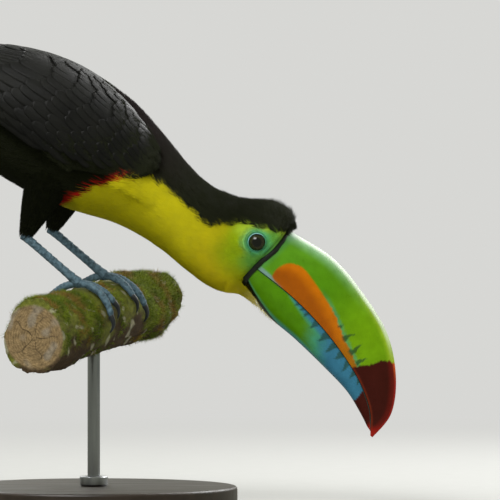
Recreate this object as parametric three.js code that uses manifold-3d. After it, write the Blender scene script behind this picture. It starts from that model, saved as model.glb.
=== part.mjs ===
// Keel-billed toucan, life-size, leaning down off a cut length of mossy branch on a plain display stand.
//
// Millimetres, +Z up, +X ahead of the bird, +Y to its left. The origin is the centre of the stand's
// underside. The bird is a row of lofted forms that meet with thin gaps: bill, head, neck, trunk and
// rump, with a wing on each side, a tail, and two legs whose toes wrap round the branch.

import * as THREE from "three";
import { mergeVertices } from "three/addons/utils/BufferGeometryUtils.js";
import Module from "manifold-3d";

const wasm = await Module();
wasm.setup();

const { cos, sin, hypot, max, min, sign, abs, PI } = Math;
const { lerp } = THREE.MathUtils;
const DEGREE = PI / 180;
const GAP = 0.35; // between neighbouring solids

// ---------------------------------------------------------------- driving dimensions

// Stations of the flesh and its coat, from the rim of the bill to the root of the tail:
// [x and z of the profile's upper edge, x and z of its lower edge, half-width].
const BODY = [
  [126.0, 178.9, 93.4, 145.6, 19.5], // rim of the bill
  [127.6, 186.6, 85.5, 138.6, 21.5], // forehead and chin
  [113.0, 195.7, 73.5, 142.5, 22.5], // crown
  [91.5, 198.2, 58.2, 153.6, 23.0], // nape
  [70.0, 210.0, 41.2, 167.4, 24.5], // neck
  [47.5, 234.0, 15.0, 182.0, 31.0], // foot of the neck
  [21.0, 259.0, -17.0, 192.0, 38.0], // breast
  [-15.0, 280.0, -48.0, 206.0, 40.0], // middle of the back
  [-51.0, 289.5, -78.0, 226.0, 35.0], // loins
  [-84.0, 291.0, -102.0, 250.0, 26.0], // rump
  [-112.0, 289.0, -123.0, 269.0, 17.0], // tail coverts
  [-138.0, 289.5, -142.0, 280.0, 10.0], // tips of the coverts
];
const NECK_STARTS = 2.75; // station where the head ends
const TRUNK_STARTS = 5.0;
const RUMP_STARTS = 8.9;
const RUMP_ENDS = 11;
const TAIL_CLEARS = 8; // station behind which the tail's root may lie

// The feathers of the mantle rise between the folded wings.
const MANTLE_STARTS = 4.6; // stations
const MANTLE_ENDS = 10.4;
const MANTLE_RISE = 5.5;
const MANTLE_SPREAD = 20 * DEGREE; // to each side of the back's middle line

// The folded wings lie on a sleeve round the trunk, given by stations like those of the body.
const SLEEVE = [
  [52.0, 236.0, 13.0, 179.5, 34.0], // bend of the wing
  [22.8, 262.0, -18.8, 189.0, 41.3],
  [-13.4, 284.2, -49.8, 202.2, 45.0],
  [-50.0, 294.6, -79.8, 221.8, 41.0],
  [-83.0, 296.0, -101.7, 247.0, 31.0],
  [-109.0, 294.0, -121.0, 265.5, 22.5],
  [-134.0, 293.0, -142.0, 276.5, 17.5],
  [-160.0, 293.0, -165.0, 282.0, 14.0], // past the tips of the primaries
];
// A wing is a shell whose columns run along its feathers, from the upper edge to the lower one.
const WING_FEATHERS = 9;
const WING_STARTS = 0.15; // station of the bend of the wing
const WING_CORNERS = 1.2; // stations by which its upper and lower edges start behind the bend
const WING_ENDS = 4.2; // station of the tip of the shortest feather, at the upper edge
const WING_REACH = 2.3; // stations from there to the tip of the longest one
const LONGEST_FEATHER = 0.8; // its place as a share of the wing's width
const LOWEST_FEATHER = 0.5; // share of the reach at the lower edge
const FEATHER_TIP = 0.32; // stations by which a feather's tip is rounded
const WING_ROOT_ANGLES = [21, 109]; // of the two edges, in degrees from the top of the sleeve
const WING_TIP_ANGLES = [10, 66];
const WING_UNDERSIDE = -0.2; // off the sleeve
const WING_THICKEST = 4.2; // at the coverts
const WING_BLUNT = 0.16; // share of a feather's length over which the front edge swells
const WING_TAPER = 0.75; // share over which it thins towards the tip
const WING_EDGE = 1 / 6; // share of the wing's width over which its edges thin
const FEATHER_THICKNESS = 1.1;
const FEATHER_OVERLAP = 0.5; // by which a feather's lower border lies over the next one

// The bill, in the head's frame: x runs ahead from its rim and z up across it.
const BILL_ORIGIN = new THREE.Vector3(109.6, 0, 162.1);
const BILL_PITCH = 45.5 * DEGREE; // below the horizon
// Stations of the bill: culmen, cutting edge and lower edge, each [x, z], then the half-widths of
// the upper and the lower mandible.
const BILL = [
  [2.6, 22.6, 2.6, -9.8, 2.6, -22.6, 18.6, 17.4],
  [32.3, 29.4, 31.0, -6.4, 28.5, -26.0, 17.6, 16.4],
  [62.3, 27.2, 57.5, -6.4, 52.0, -24.2, 15.6, 14.2],
  [91.0, 20.3, 81.0, -9.2, 77.0, -23.5, 12.8, 11.4],
  [114.3, 5.2, 101.0, -14.0, 98.5, -23.9, 9.4, 8.2],
  [129.2, -13.6, 118.2, -22.0, 114.5, -27.4, 5.4, 4.6],
  [131.7, -33.0, 130.0, -33.2, 126.3, -31.2, 0.7, 0.7],
];
const UPPER_ENDS = 6;
const LOWER_ENDS = 5.72; // the hook of the upper mandible passes the lower one's tip
const BAND_LENGTH = 2.2; // of the black rim between head and mandibles
const BAND_STANDS = 0.5;
const UPPER_POWER = 1.9; // section shapes of the two mandibles: 2 is an ellipse
const LOWER_POWER = 2.3;

// Soft bristly feathers fill the angle under the lower mandible, in the head's frame.
const CHIN_CENTRE = [-1, 0, -24];
const CHIN_RADII = [19, 9.5, 8];

const EYE_RADIUS = 6.4;
const EYE_CENTRE = [104.4, 16.6, 169.9]; // of the left eye

// The tail: five pairs of feathers, the middle pair longest and on top.
const TAIL_ROOT = [-98, 0, 279];
const TAIL_RISE = 7.5 * DEGREE;
const TAIL_PAIRS = 5;
const TAIL_LENGTH = 160;
const TAIL_STEP = 7.5; // each pair is shorter than the last by this
const TAIL_DROP = 1; // each pair lies below the last by this
const TAIL_SIDE_DROP = 0.45; // and the right feather of a pair below the left one
const TAIL_SAG = 0.006; // of a feather's length
const TAIL_SPREAD = 2.3 * DEGREE;
const TAIL_FEATHER_WIDTH = 25;
const TAIL_ROOT_WIDTH = 0.55; // share of the full width
const TAIL_WIDENS = 0.62; // share of the length where the width is full

// The perch, a cut length of branch under the feet.
const PERCH_CENTRE = new THREE.Vector3(0, 0, 121);
const PERCH_RADIUS = 22;
const PERCH_LENGTH = 170;
const PERCH_YAW = 24 * DEGREE; // from the Y axis towards +X
const PERCH_RISE = 7 * DEGREE;
const BARK_SWELLS = [1.6, 1.1];
const BARE_PERCH = [12, 34]; // past a foot, where the swells start and where they are full

// Legs. Distances along the perch are measured from its middle.
const FOOT_SPACING = 19;
const ANKLE_BACK = 34; // of the foot, in X
const ANKLE_HEIGHT = 176;
const ANKLE_APART = 0.95; // as a share of the feet's distance apart
const HIP_AHEAD = 17; // of the ankle, deep in the belly's feathers
const HIP_ABOVE = 42;
const HIP_APART = 0.85; // as a share of the ankles' distance apart
const THIGH_RADII = [15.5, 4]; // at the hip and the ankle
const THIGH_TAPER = 1.35;
const TARSUS_RADIUS = 2.7;
const JOINT_SWELL = 0.9; // of the shank at both ends
const TOE_RADIUS = 2.6;
const TOE_TAPER = 0.55;
const TOE_PADS = 3;
const PAD_SWELL = 0.18;
const TOE_LIFT = 0.25; // of the toes off the bark, past the gap
const FOOT_LIFT = 0.6; // of their root
const TOES = [
  // length along the perch's skin (ahead is positive), and how far the tip strays outward
  { name: "inner_front", reach: 27, stray: -5 },
  { name: "outer_front", reach: 35, stray: 6 },
  { name: "outer_rear", reach: -31, stray: 6 },
  { name: "inner_rear", reach: -21, stray: -5 },
];
const CLAW_LENGTH = 10;
const CLAW_RADII = [1.75, 0.35];
const CLAW_ARCH = 1.7;
const CLAW_DIP = 1.2; // of its point towards the bark

// The stand.
const BASE_RADIUS = 92;
const BASE_THICKNESS = 14;
const BASE_BEVEL = 2;
const ROD_RADIUS = 4;
const COLLAR_RADIUS = 9;
const COLLAR_HEIGHT = 6;
const COLLAR_BEVEL = 1;

// Facets. Where there are two numbers, they go round and from pole to pole.
const BODY_SIDES = 24;
const BODY_RINGS_PER_STATION = 3;
const UPPER_SIDES = 12;
const UPPER_RINGS = 18;
const LOWER_SIDES = 10;
const LOWER_RINGS = 16;
const EYE_FACETS = [12, 8];
const CHIN_FACETS = [10, 6];
const LIMB_SIDES = 7;
const THIGH_SIDES = 12;
const THIGH_RINGS = 7;
const SHANK_RINGS = 5;
const TOE_RINGS = 6;
const CLAW_SIDES = 5;
const CLAW_RINGS = 5;
const PERCH_SIDES = 18;
const PERCH_RINGS = 14;
const ROD_SIDES = 12;
const COLLAR_SIDES = 16;
const BASE_SIDES = 36;

const PAINT = {
  plumage: [0x14140f, 0.7],
  bib: [0xe0c81c, 0.75],
  face: [0x8fb838, 0.6],
  rump: [0xe8e6da, 0.8],
  bill: [0x69ad1e, 0.3],
  rim: [0x15170f, 0.4],
  eye: [0x1a120a, 0.08],
  leg: [0x6f93a8, 0.55],
  claw: [0x2c2e30, 0.4],
  moss: [0x56641f, 0.95],
  stand: [0x2a2826, 0.4],
};

// ---------------------------------------------------------------- lofts and solids

// Catmull-Rom interpolation between rows of numbers, at station t.
function between(rows, t) {
  const last = rows.length - 1;
  const i = min(max(Math.floor(t), 0), last - 1);
  const w = min(max(t, 0), last) - i;
  const [a, b, c, d] = [-1, 0, 1, 2].map((k) => rows[min(max(i + k, 0), last)]);
  return b.map((_, k) => {
    const bend = 2 * a[k] - 5 * b[k] + 4 * c[k] - d[k];
    const twist = 3 * (b[k] - c[k]) + d[k] - a[k];
    return b[k] + 0.5 * w * (c[k] - a[k] + w * (bend + w * twist));
  });
}

// A point of the ellipse through a profile's upper and lower points, at angle turn from the top
// towards +Y, standing off the ellipse by grow.
function ovalPoint([topX, topZ, lowX, lowZ, half], turn, grow = 0) {
  const tall = hypot(topX - lowX, topZ - lowZ) / 2;
  const up = new THREE.Vector3(topX - lowX, 0, topZ - lowZ).normalize();
  return new THREE.Vector3((topX + lowX) / 2, (half + grow) * sin(turn), (topZ + lowZ) / 2).addScaledVector(
    up,
    (tall + grow) * cos(turn),
  );
}

// A closed solid through rings of equal length. Each end is closed by a point in its middle. A blade's
// ring runs out along one face and back along the other, and its ends are closed between the two.
function loft(rings, blade = false) {
  const sides = rings[0].length;
  const points = rings.flat();
  const faces = [];
  for (let r = 0; r < rings.length - 1; r++)
    for (let k = 0; k < sides; k++) {
      const [a, b] = [r * sides + k, r * sides + ((k + 1) % sides)];
      faces.push([a, b, b + sides], [a, b + sides, a + sides]);
    }
  const end = (rings.length - 1) * sides;
  if (blade)
    for (let k = 0; k < sides / 2 - 1; k++) {
      const back = sides - 1 - k;
      faces.push([k + 1, k, back], [k + 1, back, back - 1]);
      faces.push([end + k, end + k + 1, end + back - 1], [end + k, end + back - 1, end + back]);
    }
  else {
    const middle = (ring) => ring.reduce((sum, p) => sum.add(p), new THREE.Vector3()).divideScalar(sides);
    const first = points.push(middle(rings[0])) - 1;
    const last = points.push(middle(rings[rings.length - 1])) - 1;
    for (let k = 0; k < sides; k++) {
      const next = (k + 1) % sides;
      faces.push([first, next, k], [last, end + k, end + next]);
    }
  }
  const volume = faces.reduce((sum, [a, b, c]) => sum + points[a].dot(points[b].clone().cross(points[c])), 0);
  const outward = volume < 0 ? faces.map(([a, b, c]) => [a, c, b]) : faces;
  return new wasm.Manifold(
    new wasm.Mesh({
      numProp: 3,
      vertProperties: new Float32Array(points.flatMap((p) => p.toArray())),
      triVerts: new Uint32Array(outward.flat()),
    }),
  );
}

// A three.js geometry as a solid.
function solidOf(geometry) {
  const bare = geometry.index ? geometry.toNonIndexed() : geometry.clone();
  bare.deleteAttribute("normal");
  bare.deleteAttribute("uv");
  const merged = mergeVertices(bare, 1e-4);
  return new wasm.Manifold(
    new wasm.Mesh({
      numProp: 3,
      vertProperties: merged.attributes.position.array,
      triVerts: new Uint32Array(merged.index.array),
    }),
  );
}

// The largest body of a solid, without sealed cavities or loose slivers.
const largest = (solid) =>
  solid.decompose().reduce((best, body) => (body.volume() > best.volume() ? body : best));

const steps = (count, from, to) => Array.from({ length: count + 1 }, (_, i) => lerp(from, to, i / count));
const turns = (sides) => steps(sides, 0, 2 * PI).slice(0, -1);
const join = (parts) => parts.reduce((sum, part) => sum.add(part));

// A round tube along points, each with its own radius.
function tube(points, radii, sides = LIMB_SIDES) {
  const rings = points.map((p, i) => {
    const ahead = points[min(i + 1, points.length - 1)].clone().sub(points[max(i - 1, 0)]).normalize();
    const side = new THREE.Vector3(0, 1, 0).addScaledVector(ahead, -ahead.y).normalize();
    const up = side.clone().cross(ahead);
    return turns(sides).map((turn) =>
      p
        .clone()
        .addScaledVector(side, radii[i] * cos(turn))
        .addScaledVector(up, radii[i] * sin(turn)),
    );
  });
  return loft(rings);
}

const group = new THREE.Group();

function place(name, solid, [colour, roughness]) {
  const { numProp, numVert, vertProperties, triVerts } = largest(solid).getMesh();
  const position = new Float32Array(numVert * 3);
  for (let i = 0; i < numVert; i++)
    position.set(vertProperties.subarray(i * numProp, i * numProp + 3), i * 3);
  const geometry = new THREE.BufferGeometry();
  geometry.setAttribute("position", new THREE.BufferAttribute(position, 3));
  geometry.setIndex(new THREE.BufferAttribute(new Uint32Array(triVerts), 1));
  geometry.computeVertexNormals();
  const mesh = new THREE.Mesh(geometry, new THREE.MeshStandardMaterial({ color: colour, roughness }));
  mesh.name = name;
  group.add(mesh);
}

// ---------------------------------------------------------------- flesh and coat

// How far the mantle lifts the back at station t.
function mantle(t, turn) {
  const along = min(max((t - MANTLE_STARTS) / (MANTLE_ENDS - MANTLE_STARTS), 0), 1);
  const aside = min(turn, 2 * PI - turn);
  return MANTLE_RISE * sin(PI * along) * (1 - THREE.MathUtils.smoothstep(aside, 0, MANTLE_SPREAD));
}

// The body between two stations. Rings fall on the same stations whatever the ends.
function bodyPiece(from, to, grow = 0) {
  const first = Math.ceil(from * BODY_RINGS_PER_STATION + 0.2);
  const last = Math.floor(to * BODY_RINGS_PER_STATION - 0.2);
  const stations = [from, ...steps(last - first, first, last).map((k) => k / BODY_RINGS_PER_STATION), to];
  const ring = (t) =>
    turns(BODY_SIDES).map((turn) => ovalPoint(between(BODY, t), turn, grow + mantle(t, turn)));
  return loft(stations.map(ring));
}

// The share of a station that gives a gap along the body there.
function stationGap(t) {
  const step = 0.01;
  const [a, b] = [between(BODY, t), between(BODY, t + step)];
  const apart = min(hypot(a[0] - b[0], a[1] - b[1]), hypot(a[2] - b[2], a[3] - b[3]));
  return (step * GAP) / apart;
}

// ---------------------------------------------------------------- bill

// From the head's frame to the part's.
function fromHead(x, y, z) {
  return new THREE.Vector3(x, y, z).applyAxisAngle(new THREE.Vector3(0, 1, 0), BILL_PITCH).add(BILL_ORIGIN);
}

// Half an oval between the cutting edge and the culmen (or the lower edge), closed along the edge.
function mandibleRing([ridgeX, ridgeZ, edgeX, edgeZ, half], sides, power, grow) {
  const tall = hypot(ridgeX - edgeX, ridgeZ - edgeZ);
  const [upX, upZ] = [(ridgeX - edgeX) / tall, (ridgeZ - edgeZ) / tall];
  const bow = (v) => sign(v) * abs(v) ** (2 / power);
  return steps(sides, 0, PI).map((turn) => {
    const rise = (tall + 2 * grow) * bow(sin(turn)) - grow;
    return fromHead(edgeX + upX * rise, (half + grow) * bow(cos(turn)), edgeZ + upZ * rise);
  });
}

function upperMandible(grow = 0) {
  const rings = steps(UPPER_RINGS, 0, UPPER_ENDS).map((t) => {
    const [ridgeX, ridgeZ, edgeX, edgeZ, , , half] = between(BILL, t);
    return mandibleRing([ridgeX, ridgeZ, edgeX, edgeZ, half], UPPER_SIDES, UPPER_POWER, grow);
  });
  return loft(rings);
}

function lowerMandible(grow = 0) {
  const rings = steps(LOWER_RINGS, 0, LOWER_ENDS).map((t) => {
    const [, , edgeX, edgeZ, lowX, lowZ, , half] = between(BILL, t);
    return mandibleRing([lowX, lowZ, edgeX, edgeZ - GAP, half], LOWER_SIDES, LOWER_POWER, grow);
  });
  return loft(rings);
}

// The rim follows the two mandibles' sections and stands a little proud of them.
function billRim(grow = 0) {
  const [, ridgeZ, , edgeZ, , lowZ, half, lowHalf] = BILL[0];
  const stands = BAND_STANDS + grow;
  const rings = [GAP - grow, BAND_LENGTH + grow].map((x) => [
    ...mandibleRing([x, ridgeZ, x, edgeZ, half], UPPER_SIDES, UPPER_POWER, stands).slice(1, -1),
    ...mandibleRing([x, lowZ, x, edgeZ, lowHalf], LOWER_SIDES, LOWER_POWER, stands).reverse(),
  ]);
  return loft(rings);
}

// ---------------------------------------------------------------- head, neck, trunk and rump

const headCut = NECK_STARTS - stationGap(NECK_STARTS);
const neckCut = TRUNK_STARTS - stationGap(TRUNK_STARTS);
const trunkCut = RUMP_STARTS - stationGap(RUMP_STARTS);

function eyeball(grow = 0) {
  return solidOf(new THREE.SphereGeometry(EYE_RADIUS + grow, ...EYE_FACETS).rotateX(PI / 2));
}

function head() {
  const chin = solidOf(new THREE.SphereGeometry(1, ...CHIN_FACETS))
    .scale(CHIN_RADII)
    .rotate([0, BILL_PITCH / DEGREE, 0])
    .translate(fromHead(...CHIN_CENTRE).toArray());
  const flesh = bodyPiece(0, headCut).add(chin);
  const [eyeX, eyeY, eyeZ] = EYE_CENTRE;
  const sockets = [-1, 1].map((side) => eyeball(GAP).translate([eyeX, side * eyeY, eyeZ]));
  return [billRim(GAP), lowerMandible(GAP), upperMandible(GAP), ...sockets].reduce(
    (solid, cut) => solid.subtract(cut),
    flesh,
  );
}

// ---------------------------------------------------------------- wings

// How far a feather reaches, of the longest one's reach, by its share of the wing's width.
function featherReach(share) {
  return share < LONGEST_FEATHER
    ? THREE.MathUtils.smootherstep(share, 0, LONGEST_FEATHER)
    : THREE.MathUtils.mapLinear(share, LONGEST_FEATHER, 1, 1, LOWEST_FEATHER);
}

// One column of the shell, across (0 to 1) the given feather: out along its face and back beneath.
function wingColumn(side, feather, across) {
  const share = (feather + across) / WING_FEATHERS;
  const start = WING_STARTS + WING_CORNERS * abs(2 * share - 1) ** 2.4;
  const reach = WING_REACH * featherReach((feather + 0.5) / WING_FEATHERS);
  const end = WING_ENDS + reach - FEATHER_TIP * (2 * across - 1) ** 2;
  const rootAngle = lerp(...WING_ROOT_ANGLES, share);
  const tipAngle = lerp(...WING_TIP_ANGLES, share);
  const at = (s, standing) => {
    const turn = side * lerp(rootAngle, tipAngle, s) * DEGREE;
    return ovalPoint(between(SLEEVE, lerp(start, end, s)), turn, standing);
  };
  // Each feather lies over the one below it, and the coverts make the wing's front thick.
  const thick = (s) => {
    const lengthwise = min(1, s / WING_BLUNT, (1 - s) / WING_TAPER);
    const plump = lengthwise * min(1, share / WING_EDGE, (1 - share) / WING_EDGE);
    const coverts = (WING_THICKEST - FEATHER_THICKNESS) * sin((PI / 2) * max(0, plump));
    return FEATHER_THICKNESS + FEATHER_OVERLAP * across + coverts;
  };
  const shares = [0, 0.1, 0.27, 0.45, 0.64, 0.83, 1];
  const outer = shares.map((s) => at(s, WING_UNDERSIDE + thick(s)));
  const inner = shares.map((s) => at(s, WING_UNDERSIDE));
  return [...outer, ...inner.reverse()];
}

function wing(side) {
  const columns = (feather) => [0.02, 0.5, 0.98].map((across) => wingColumn(side, feather, across));
  return loft(steps(WING_FEATHERS - 1, 0, WING_FEATHERS - 1).flatMap(columns), true);
}

// ---------------------------------------------------------------- tail

// A blade with a rounded tip, wider away from its root and a little dished along its length.
function tailFeather(pair, side, grow = 0) {
  const length = TAIL_LENGTH - TAIL_STEP * pair;
  const yaw = side * TAIL_SPREAD * (pair + 0.4);
  const drop = TAIL_DROP * pair + (side < 0 ? TAIL_SIDE_DROP : 0);
  const half = TAIL_FEATHER_WIDTH / 2 + grow;
  const thickness = FEATHER_THICKNESS + 2 * grow;
  const corner = (share, edge, upper) => {
    const roundTip = Math.sqrt(max(0.004, 1 - share ** 9));
    const wide = half * lerp(TAIL_ROOT_WIDTH, 1, min(1, share / TAIL_WIDENS)) * roundTip;
    const sag = TAIL_SAG * length * share ** 2;
    return new THREE.Vector3(-length * share, edge * wide, (upper - 0.5) * thickness - drop - sag)
      .applyAxisAngle(new THREE.Vector3(0, 0, 1), yaw)
      .applyAxisAngle(new THREE.Vector3(0, 1, 0), TAIL_RISE);
  };
  const round = [
    [1, 1],
    [1, 0],
    [-1, 0],
    [-1, 1],
  ];
  const ring = (share) => round.map(([edge, upper]) => corner(share, edge, upper));
  return loft([0, 0.3, 0.62, 0.85, 0.95, 1].map(ring)).translate(TAIL_ROOT);
}

function tail(grow = 0) {
  const pairs = steps(TAIL_PAIRS - 1, 0, TAIL_PAIRS - 1);
  return join(pairs.flatMap((pair) => [-1, 1].map((side) => tailFeather(pair, side, grow))));
}

// ---------------------------------------------------------------- perch, legs and feet

const perchAxis = new THREE.Vector3(
  sin(PERCH_YAW) * cos(PERCH_RISE),
  cos(PERCH_YAW) * cos(PERCH_RISE),
  sin(PERCH_RISE),
);
const perchUp = new THREE.Vector3(0, 0, 1).addScaledVector(perchAxis, -perchAxis.z).normalize();
const perchAhead = perchAxis.clone().cross(perchUp);

// A point off the perch's axis: its distance along it, its angle ahead of the top, its radius.
function onPerch(along, turn, radius) {
  return PERCH_CENTRE.clone()
    .addScaledVector(perchAxis, along)
    .addScaledVector(perchUp, radius * cos(turn))
    .addScaledVector(perchAhead, radius * sin(turn));
}

// The bark swells and sinks, except under the feet.
function barkSwell(along, turn) {
  const [low, high] = BARE_PERCH;
  const waves = BARK_SWELLS[0] * sin(along / 17 + 2 * turn) + BARK_SWELLS[1] * sin(3 * turn - along / 11);
  return waves * THREE.MathUtils.smoothstep(abs(along), FOOT_SPACING + low, FOOT_SPACING + high);
}

function perch(grow = 0) {
  const half = PERCH_LENGTH / 2 + grow;
  const ring = (along) =>
    turns(PERCH_SIDES).map((turn) => onPerch(along, turn, PERCH_RADIUS + grow + barkSwell(along, turn)));
  return loft(steps(PERCH_RINGS, -half, half).map(ring));
}

function footRoot(side) {
  return onPerch(side * FOOT_SPACING, 0, PERCH_RADIUS + GAP + TOE_RADIUS + FOOT_LIFT);
}

function anklePoint(side) {
  const foot = footRoot(side);
  return new THREE.Vector3(foot.x - ANKLE_BACK, foot.y * ANKLE_APART, ANKLE_HEIGHT + perchAxis.z * foot.y);
}

// The feathered leg, a cone that comes out of the belly's feathers.
function thigh(side) {
  const ankle = anklePoint(side);
  const hip = new THREE.Vector3(ankle.x + HIP_AHEAD, ankle.y * HIP_APART, ankle.z + HIP_ABOVE);
  const shares = steps(THIGH_RINGS, 0, 1);
  const cone = tube(
    shares.map((s) => hip.clone().lerp(ankle, s)),
    shares.map((s) => lerp(...THIGH_RADII, s ** THIGH_TAPER)),
    THIGH_SIDES,
  );
  return cone.subtract(bodyPiece(TRUNK_STARTS, RUMP_STARTS, GAP)).subtract(shank(side, GAP));
}

function toe({ reach, stray }, side) {
  const lift = PERCH_RADIUS + GAP + TOE_RADIUS + TOE_LIFT;
  const shares = steps(TOE_RINGS, 0, 1);
  return tube(
    shares.map((s) => onPerch(side * (FOOT_SPACING + stray * s), (reach * s) / lift, lift)),
    shares.map((s) => TOE_RADIUS - TOE_TAPER * s + PAD_SWELL * cos(s * TOE_PADS * 2 * PI)),
  );
}

// The bare shank, thicker at its two joints.
function shank(side, grow = 0) {
  const [ankle, root] = [anklePoint(side), footRoot(side)];
  const shares = steps(SHANK_RINGS, 0, 1);
  return tube(
    shares.map((s) => ankle.clone().lerp(root, s)),
    shares.map((s) => TARSUS_RADIUS + JOINT_SWELL * (2 * s - 1) ** 4 + grow),
  );
}

const foot = (side) => join([shank(side), ...TOES.map((each) => toe(each, side))]);

// A claw arches off the bark ahead of its toe, and its point comes back to it.
function claw({ reach, stray }, side) {
  const lift = PERCH_RADIUS + GAP + TOE_RADIUS;
  const toward = sign(reach);
  const shares = steps(CLAW_RINGS, 0, 1);
  const points = shares.map((s) => {
    const turn = (reach + toward * (GAP + 0.05 + CLAW_LENGTH * s)) / lift;
    return onPerch(side * (FOOT_SPACING + stray), turn, lift + CLAW_ARCH * sin(PI * s) - CLAW_DIP * s);
  });
  const radii = shares.map((s) => lerp(...CLAW_RADII, s));
  return tube(points, radii, CLAW_SIDES);
}

// ---------------------------------------------------------------- stand

function rod() {
  const top = PERCH_CENTRE.z - PERCH_RADIUS / 2;
  const bottom = BASE_THICKNESS + GAP;
  const cylinder = new THREE.CylinderGeometry(ROD_RADIUS, ROD_RADIUS, top - bottom, ROD_SIDES);
  return solidOf(cylinder.rotateX(PI / 2))
    .translate([0, 0, (top + bottom) / 2])
    .subtract(perch(GAP));
}

function collar() {
  const bottom = BASE_THICKNESS + GAP;
  const inner = ROD_RADIUS + GAP;
  const profile = [
    [inner, 0],
    [COLLAR_RADIUS, 0],
    [COLLAR_RADIUS, COLLAR_HEIGHT - COLLAR_BEVEL],
    [COLLAR_RADIUS - COLLAR_BEVEL, COLLAR_HEIGHT],
    [inner, COLLAR_HEIGHT],
    [inner, 0],
  ].map(([x, y]) => new THREE.Vector2(x, y));
  return solidOf(new THREE.LatheGeometry(profile, COLLAR_SIDES).rotateX(PI / 2)).translate([0, 0, bottom]);
}

function base() {
  const profile = [
    [0, 0],
    [BASE_RADIUS - BASE_BEVEL, 0],
    [BASE_RADIUS, BASE_BEVEL],
    [BASE_RADIUS, BASE_THICKNESS - BASE_BEVEL],
    [BASE_RADIUS - BASE_BEVEL, BASE_THICKNESS],
    [0, BASE_THICKNESS],
  ].map(([x, y]) => new THREE.Vector2(x, y));
  return solidOf(new THREE.LatheGeometry(profile, BASE_SIDES).rotateX(PI / 2));
}

// ---------------------------------------------------------------- the whole bird

place("bill_rim", billRim(), PAINT.rim);
place("bill_upper", upperMandible(), PAINT.bill);
place("bill_lower", lowerMandible(), PAINT.bill);
place("head", head(), PAINT.face);
place("neck", bodyPiece(NECK_STARTS, neckCut), PAINT.bib);
place("trunk", bodyPiece(TRUNK_STARTS, trunkCut), PAINT.plumage);
place("rump", bodyPiece(RUMP_STARTS, RUMP_ENDS).subtract(tail(GAP)), PAINT.rump);
place("tail", tail().subtract(bodyPiece(TAIL_CLEARS, RUMP_STARTS, GAP)), PAINT.plumage);

for (const [word, side] of [
  ["left", 1],
  ["right", -1],
]) {
  const [eyeX, eyeY, eyeZ] = EYE_CENTRE;
  place(`eye_${word}`, eyeball().translate([eyeX, side * eyeY, eyeZ]), PAINT.eye);
  place(`wing_${word}`, wing(side), PAINT.plumage);
  place(`thigh_${word}`, thigh(side), PAINT.plumage);
  place(`foot_${word}`, foot(side), PAINT.leg);
  for (const each of TOES) place(`claw_${each.name}_${word}`, claw(each, side), PAINT.claw);
}

place("perch_branch", perch(), PAINT.moss);
place("stand_rod", rod(), PAINT.stand);
place("stand_collar", collar(), PAINT.stand);
place("stand_base", base(), PAINT.stand);

export default group;
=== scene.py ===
"""Keel-billed toucan on a mossy perch, dressed over its CAD frame.

Lengths are in millimetres, and become metres when a mesh is made. +X is ahead of the bird, +Y its
left and +Z up. The forms repeat the CAD model's stations, so each piece lies where its solid does.
"""

import bpy
import numpy as np
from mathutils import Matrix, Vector
from mathutils.bvhtree import BVHTree
from mathutils.kdtree import KDTree


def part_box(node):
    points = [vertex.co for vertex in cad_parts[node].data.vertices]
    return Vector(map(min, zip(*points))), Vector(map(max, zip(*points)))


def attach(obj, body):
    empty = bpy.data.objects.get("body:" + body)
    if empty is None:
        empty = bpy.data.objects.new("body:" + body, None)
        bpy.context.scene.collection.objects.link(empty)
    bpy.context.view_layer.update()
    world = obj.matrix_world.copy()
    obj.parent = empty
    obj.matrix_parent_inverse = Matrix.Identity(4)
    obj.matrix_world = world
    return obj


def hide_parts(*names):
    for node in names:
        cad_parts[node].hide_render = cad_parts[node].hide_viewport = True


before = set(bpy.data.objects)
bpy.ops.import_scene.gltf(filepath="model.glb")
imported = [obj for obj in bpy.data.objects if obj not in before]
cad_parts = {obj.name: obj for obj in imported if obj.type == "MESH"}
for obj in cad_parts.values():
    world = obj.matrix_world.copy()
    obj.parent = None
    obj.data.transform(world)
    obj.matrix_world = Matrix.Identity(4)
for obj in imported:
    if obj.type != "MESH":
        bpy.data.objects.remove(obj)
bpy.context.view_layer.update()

MM = 0.001
WHOLE_TURN = 2 * np.pi
SIDES = (("left", 1), ("right", -1))
rng = np.random.default_rng(20)

# ---------------- driving dimensions

# Stations of the body's coat: [x and z of the upper edge, x and z of the lower edge, half-width].
BODY = [
    [126, 178.9, 93.4, 145.6, 19.5],  # rim of the bill
    [127.6, 186.6, 85.5, 138.6, 21.5],  # forehead and chin
    [113, 195.7, 73.5, 142.5, 22.5],  # crown
    [91.5, 198.2, 58.2, 153.6, 23],  # nape
    [70, 210, 41.2, 167.4, 24.5],  # neck
    [47.5, 234, 15, 182, 31],  # foot of the neck
    [21, 259, -17, 192, 38],  # breast
    [-15, 280, -48, 206, 40],  # middle of the back
    [-51, 289.5, -78, 226, 35],  # loins
    [-84, 291, -102, 250, 26],  # rump
    [-112, 289, -123, 269, 17],  # tail coverts
    [-138, 289.5, -142, 280, 10],  # tips of the coverts
]
BODY_ENDS = len(BODY) - 1

# The feathers of the mantle rise between the folded wings, from station to station.
MANTLE_STARTS = 4.6
MANTLE_ENDS = 10.4
MANTLE_RISE = 5.5
MANTLE_SPREAD = 20  # degrees to each side of the back's middle line

# Stations of the sleeve that the folded wings lie on.
SLEEVE = [
    [52, 236, 13, 179.5, 34],  # bend of the wing
    [22.8, 262, -18.8, 189, 41.3],
    [-13.4, 284.2, -49.8, 202.2, 45],
    [-50, 294.6, -79.8, 221.8, 41],
    [-83, 296, -101.7, 247, 31],
    [-109, 294, -121, 265.5, 22.5],
    [-134, 293, -142, 276.5, 17.5],
    [-160, 293, -165, 282, 14],  # past the tips of the primaries
]

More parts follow.
